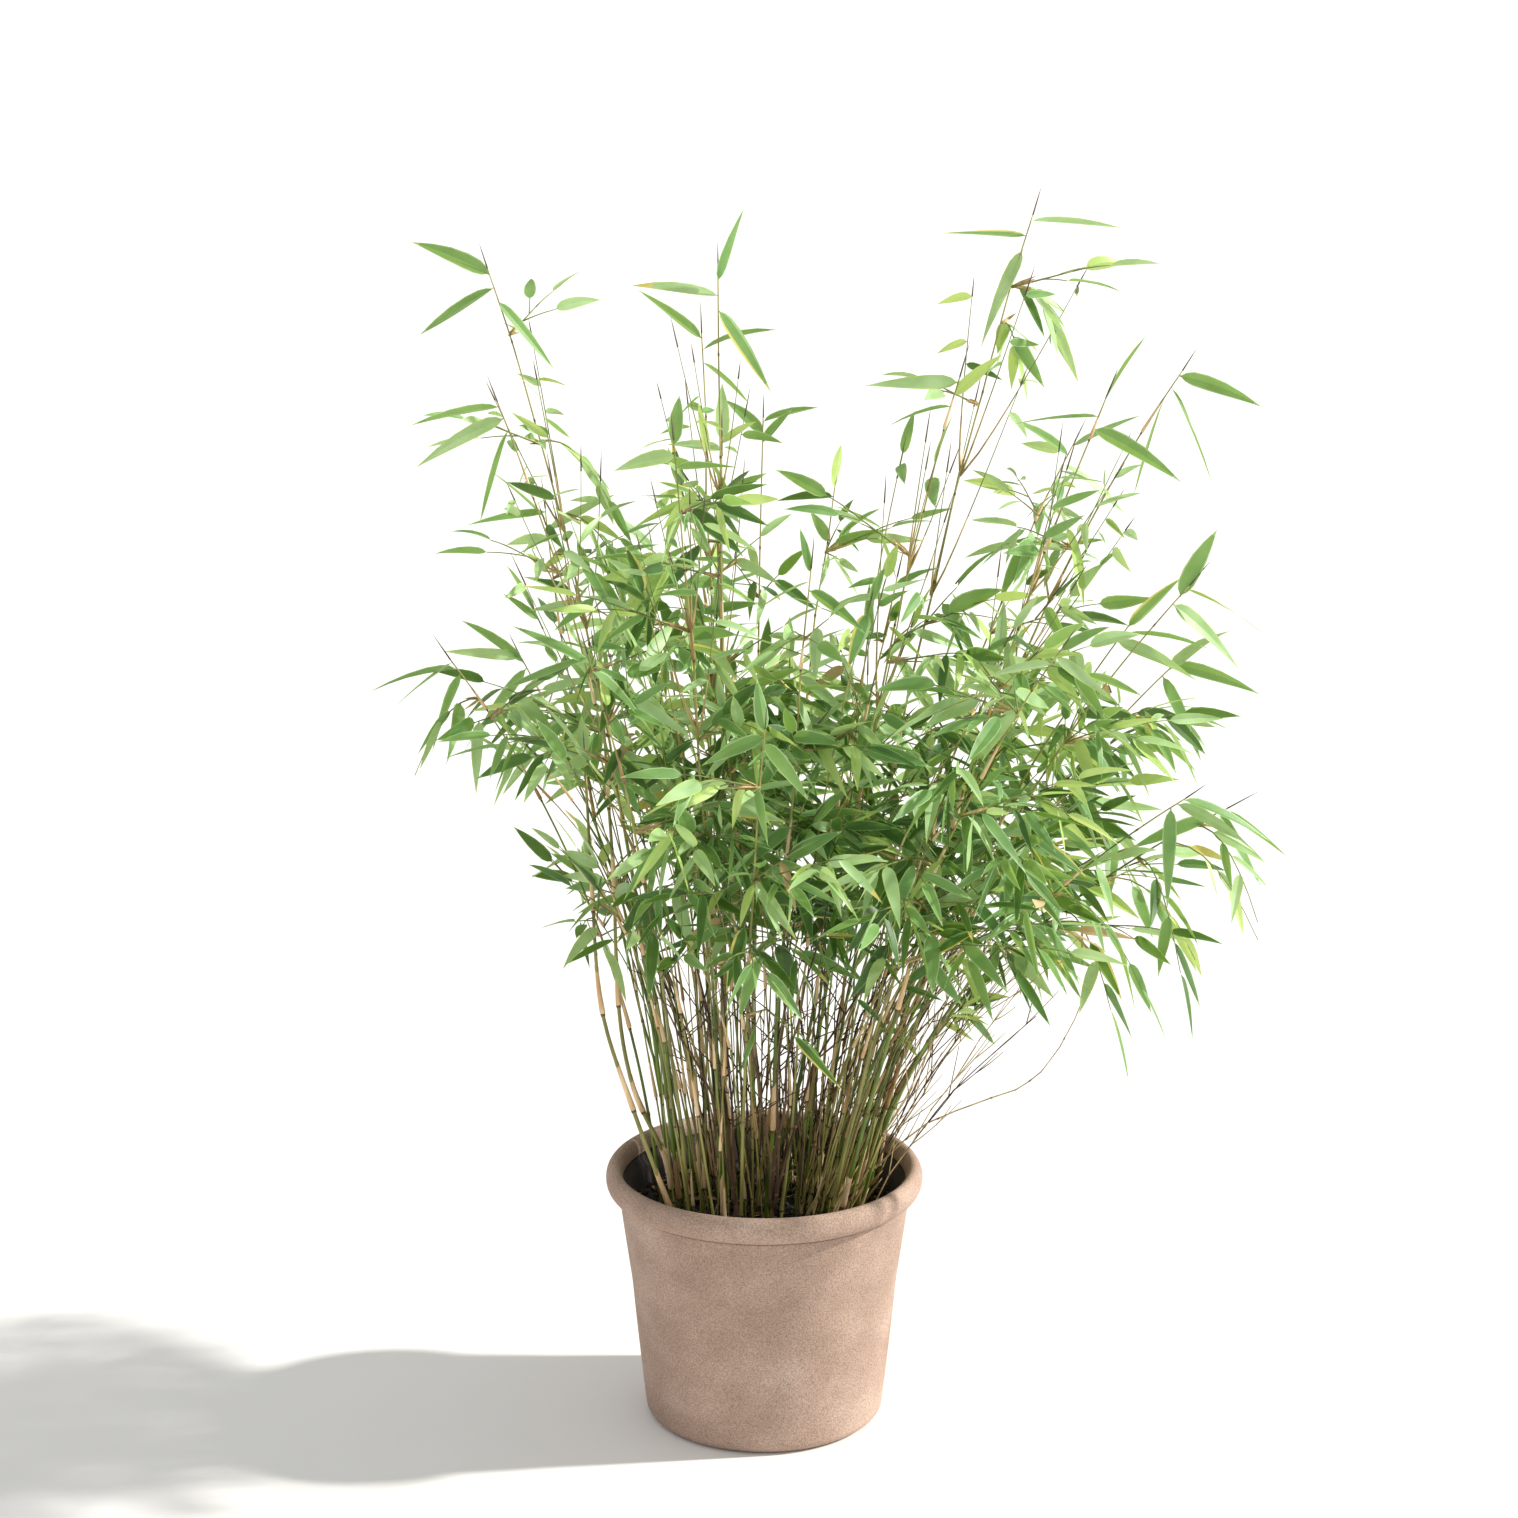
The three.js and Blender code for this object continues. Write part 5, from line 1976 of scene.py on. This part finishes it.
    def add_leafy_twig(self, root: Vec, heading: Vec, length: float, end_leaf: float,
                       side_leaves: int, radius: float, size: float = 1.0,
                       tint: Tint | None = None) -> None:
        """Add a fine twig with a leaf at its end and others on alternate sides.

        Args:
            root: Where it leaves its stem.
            heading: The direction it sets off in.
            length: The twig's length.
            end_leaf: The length of the leaf at its end.
            side_leaves: How many other leaves it has.
            radius: Its radius at its root.
            size: The size of its other leaves beside the plant's usual ones.
            tint: Its leaves' tint, or None to deal one out.
        """
        points = arched(root, heading, length, -self.twig_droop, column(5))
        self.twigs.add_tube(points, np.linspace(radius, 0.45, 5), 5)
        tint = tint or self.deal(root)
        way = unit(points[-1] - points[-2])
        self.add_leaf(points[-1], way, end_leaf, tint)
        first_side = 1 if self.dice.chance(0.5) else -1
        for index in range(side_leaves):
            place = lerp(0.12, 0.96, (index + 0.5) / side_leaves)
            start = arched(root, heading, length, -self.twig_droop, place)
            turn_to = first_side * in_turn(index)
            leaf_way = self.swung(way, turn_to, (0.35, 0.95), (-0.1, 1.6))
            leaf_length = self.dice.within(self.leaf_length) * size
            self.add_leaf_inside(start, leaf_way, leaf_length, tint)

    def add_flag(self, line: LeafLine) -> None:
        """Put a long leaf on a line at a cane's tip, shorter where others stand round it."""
        is_inner = line.start[2] < 1000 and abs(line.start[0] - 70) < 200
        length = line.length * self.dice.between(0.9, 1) * (0.7 if is_inner else 1)
        tint = Tint.LIGHT if self.dice.chance(0.25) else Tint.MID
        self.add_leaf(line.start, line.direction, length, tint)

    def add_spray(self, line: LeafLine) -> None:
        """Put a spray of leaves on the line of one solid leaf."""
        most = self.fullness(line.start) * self.most_side_leaves
        count = rounded(most * self.dice.within(self.count_scatter))
        stalk = line.length * self.dice.between(0.28, 0.45)
        end_leaf = min(line.length - stalk, self.dice.between(52, 66))
        self.add_leafy_twig(line.start, line.direction, stalk, end_leaf, count, 0.7)

    def add_tip(self, root: Vec, way: Vec, length: float) -> None:
        """Add the rolled needle of a leaf that has not opened."""
        points = arched(root, way, length, 0, column(4))
        self.tips.add_tube(points, np.array([0.8, 0.7, 0.45, 0.08]), 5)

    def add_bracts(self, root: Vec, way: Vec, count: int) -> None:
        """Add the bundle of papery scales at a node that branches.

        Args:
            root: The node's place.
            way: The direction that the scales point in.
            count: How many there are.
        """
        for _ in range(count):
            heading = self.swung(way, 1, (-0.4, 0.4), (-0.3, 0.3))
            length, width = self.dice.between(10, 30), self.dice.between(2, 4)
            blade = Blade(root, heading, length, width, self.dice.either(1.5), 0.0, 0.8,
                          self.dice.either(0.5), 2 if self.dice.chance(0.35) else 0)
            blade.add_to(self.bracts, SCALE_SHAPE)

    def add_fine_twig(self, root: Vec, heading: Vec, length: float) -> None:
        """Add a leafy twig where the crown has room for it.

        Args:
            root: Where it leaves its stem.
            heading: The direction it sets off in.
            length: Its length.
        """
        if not self.growth.crown.holds(root + heading * (length + self.fine_room)):
            return
        count = 1 + rounded(self.fullness(root) * 3 * self.dice.next())
        end_leaf = self.dice.within(self.leaf_length)
        self.add_leafy_twig(root, heading, length, end_leaf, count, 0.95)
        if self.dice.chance(0.25):
            start = root + heading * length * 0.95
            self.add_tip(start, heading, self.dice.between(14, 30))

    def add_mass(self, mass: FoliageRule) -> None:
        """Put leaves and finer twigs on all solid twigs and leaf lines of one cane."""
        for twig in mass.twigs:
            if not self.is_open(twig.rod.point_at(1)):
                self.dress_twig(twig)
        for line in mass.flags:
            self.add_flag(line)
        self.add_tip(mass.stem.point_at(1), mass.stem.way_at(1), self.dice.between(24, 36))

    def dress_twig(self, twig: SolidTwig) -> None:
        """Put scales, finer twigs and sprays on one solid twig."""
        course = np.array([twig.rod.point_at(t) for t in np.linspace(0, 1, 7)])
        self.twigs.add_tube(course, np.linspace(1.1, 0.6, 7), 6)
        self.bracts.add_tube(course[:3], np.array([1.35, 1.15, 1.0]), 6, ScaleSlot.STRAW)
        root, way = twig.rod.point_at(0), twig.rod.way_at(0)
        self.add_bracts(root, way, 4)
        length = float(np.linalg.norm(course[-1] - course[0]))
        most = self.most_fine_twigs * self.fullness(root)
        for index in range(rounded(most * self.dice.within(self.count_scatter))):
            heading = self.swung(way, in_turn(index), (0.35, 1.3), (-1.2, 0.3))
            self.add_fine_twig(root, heading, length * self.dice.between(0.4, 0.8))
        for line in twig.lines:
            self.add_spray(line)

    def add_shoot(self, stem: Stem) -> None:
        """Put twigs on the leafy length of a thinner shoot."""
        bearing = self.dice.bearing()
        leafy_from = self.low_start + self.dice.between(20, 80)
        for node in stem.nodes:
            root = stem.place(node)
            if root[2] < leafy_from or not self.dice.chance(lerp(0.25, 1, self.fullness(root))):
                continue
            if self.is_open(root):
                continue
            bearing += GOLDEN_TURN
            lift = stem.way_at(node) * self.dice.between(0.4, 1.1)
            heading = unit(lift + level_way(bearing))
            self.add_fine_twig(root, heading, self.dice.between(35, 80))
            self.add_bracts(root, heading, 2)
        end, way = stem.place(stem.length), stem.way_at(stem.length - stem.way_reach)
        self.add_fine_twig(end, way, self.dice.between(15, 35))
        self.add_tip(end, way, self.dice.between(24, 44))

    def add_hanging_shoot(self, root: Vec, bearing: float, length: float) -> None:
        """Add a small shoot that arches out and down, with leaves on alternate sides.

        Args:
            root: Where it leaves its cane.
            bearing: The way it sets off in, in radians counter-clockwise from the right.
            length: Its length.
        """
        out = level_way(bearing)
        shares = column(8)
        rise = 0.2 * shares - 0.85 * shares**2
        points = root + (out * shares * 0.72 + UP * rise) * length
        self.twigs.add_tube(points, np.linspace(0.9, 0.4, 8), 6)
        self.add_bracts(root, out, 2)
        tint = self.deal(root)
        for step in range(2, 8):
            way = unit(points[step] - points[step - 1])
            if step < 7:
                way = self.swung(way, in_turn(step), (0.3, 0.8), (0.1, 0.8))
            else:
                self.dice.next()
            self.add_leaf_inside(points[step], way, self.dice.within(self.leaf_length), tint)

    def add_bundle(self, cane: CaneRule, share: float) -> None:
        """Add the bundle of thin upright branches that a tall cane bears high up.

        Args:
            cane: The cane.
            share: The share along it where they leave it.
        """
        root = cane.point(share)
        way = unit(cane.point(share + 0.02) - root)
        self.add_bracts(root, way, 6)
        bearing = self.dice.bearing()
        highest = cane.handles[3][2] - self.bundle_clearance
        for _ in range(self.bundle_branches):
            bearing += GOLDEN_TURN
            length = min(self.dice.between(90, 210), highest - root[2])
            out = level_way(bearing) * self.dice.between(0.14, 0.4)
            shares = column(9)
            points = root + (way * shares + out * shares**0.8) * length
            self.twigs.add_tube(points, np.linspace(0.75, 0.35, 9), 6)
            radii = np.array([1.15, 0.95, 0.8, 0.65])
            self.bracts.add_tube(points[:4], radii, 6, ScaleSlot.STRAW)
            tint = self.deal(points[-1])
            for step in range(3, 9):
                along = unit(points[step] - points[step - 1])
                leaf_way = self.swung(along, in_turn(step), (0.5, 1.2), (0.2, 1))
                leaf_length = self.dice.between(28, 50)
                if self.dice.chance(0.6) and not self.is_open(points[step]):
                    self.add_leaf_inside(points[step], leaf_way, leaf_length, tint)
            end_way = unit(points[-1] - points[-2])
            self.add_tip(points[-1], end_way, self.dice.between(16, 34))

    def add_low_sprigs(self, stem: Stem) -> None:
        """Put small fresh twigs of leaves on a stem of the dry fan."""
        for _ in range(2):
            place = stem.length * self.dice.between(0.5, 0.95)
            out_x, out_y = self.dice.between(-0.5, 0.9), self.dice.between(-0.7, 0.2)
            heading = unit(stem.way_at(place) * 0.5 + np.array([out_x, out_y, 0.0]))
            length, leaf = self.dice.between(14, 30), self.dice.between(26, 42)
            root = stem.place(place)
            self.add_leafy_twig(root, heading, length, leaf, 2, 0.6, 0.7, Tint.FRESH)


@dataclass(frozen=True)
class Studio:
    """A pale floor, soft light all round and a sun from the upper right, and the camera."""

    floor_radius: float = 90.0
    floor_z: float = -0.0005
    floor_sides: int = 64
    focal_length: float = 80.63
    sensor_width: float = 36.0
    camera_place: tuple[float, float, float] = (-0.005, -3.0288, 1.4139)
    camera_tilt: float = 75.71
    sun_from: tuple[float, float, float] = (1.0, 0.06, 0.64)
    sun_colour: Colour = (1.0, 0.965, 0.91)
    sun_strength: float = 4.6
    sun_size: float = 2.5
    sky_strength: float = 0.7

    def build(self) -> None:
        """Set up the floor, the light and the camera."""
        scene = bpy.context.scene
        scene.view_settings.view_transform = "Standard"
        self.build_floor(scene)
        self.build_sky(scene)
        self.build_sun(scene)
        self.build_camera(scene)

    def build_floor(self, scene: bpy.types.Scene) -> None:
        """Lay a wide round floor, level with the pot's foot."""
        corners = range(self.floor_sides)
        ring = [level_way(k * math.tau / self.floor_sides) * self.floor_radius for k in corners]
        mesh = bpy.data.meshes.new("studio_floor")
        mesh.from_pydata([(x, y, self.floor_z) for x, y, _ in ring], [], [list(corners)])
        mesh.materials.append(FLOOR.material())
        floor = bpy.data.objects.new("studio_floor", mesh)
        scene.collection.objects.link(floor)

    def build_sky(self, scene: bpy.types.Scene) -> None:
        """Light the scene evenly from all round."""
        world = bpy.data.worlds.new("studio_sky")
        world.use_nodes = True
        backdrop = world.node_tree.nodes["Background"]
        backdrop.inputs["Color"].default_value = (1.0, 1.0, 1.0, 1.0)
        backdrop.inputs["Strength"].default_value = self.sky_strength
        scene.world = world

    def build_sun(self, scene: bpy.types.Scene) -> None:
        """Hang the sun, and point it at the plant."""
        sun = bpy.data.lights.new("sun", "SUN")
        sun.energy, sun.angle = self.sun_strength, math.radians(self.sun_size)
        sun.color = self.sun_colour
        lamp = bpy.data.objects.new("sun", sun)
        x, y, z = self.sun_from
        lamp.rotation_euler = (math.atan2(math.hypot(x, y), z), 0, math.atan2(x, -y))
        scene.collection.objects.link(lamp)

    def build_camera(self, scene: bpy.types.Scene) -> None:
        """Set up the camera of the front view."""
        data = bpy.data.cameras.new("camera")
        data.lens, data.sensor_width = self.focal_length, self.sensor_width
        camera = bpy.data.objects.new("camera", data)
        camera.location = self.camera_place
        camera.rotation_euler = (math.radians(self.camera_tilt), 0, 0)
        scene.collection.objects.link(camera)
        scene.camera = camera


def main() -> None:
    """Build the classes in order."""
    logging.basicConfig(level=logging.INFO, format="%(message)s")
    growth = Growth()
    growth.grow()
    Pot().build()
    Compost().build()
    canes = Canes(growth)
    canes.build()
    dry = DryStems(growth)
    dry.build()
    Foliage(growth, canes, dry).build()
    Studio().build()


if __name__ == "__main__":
    main()
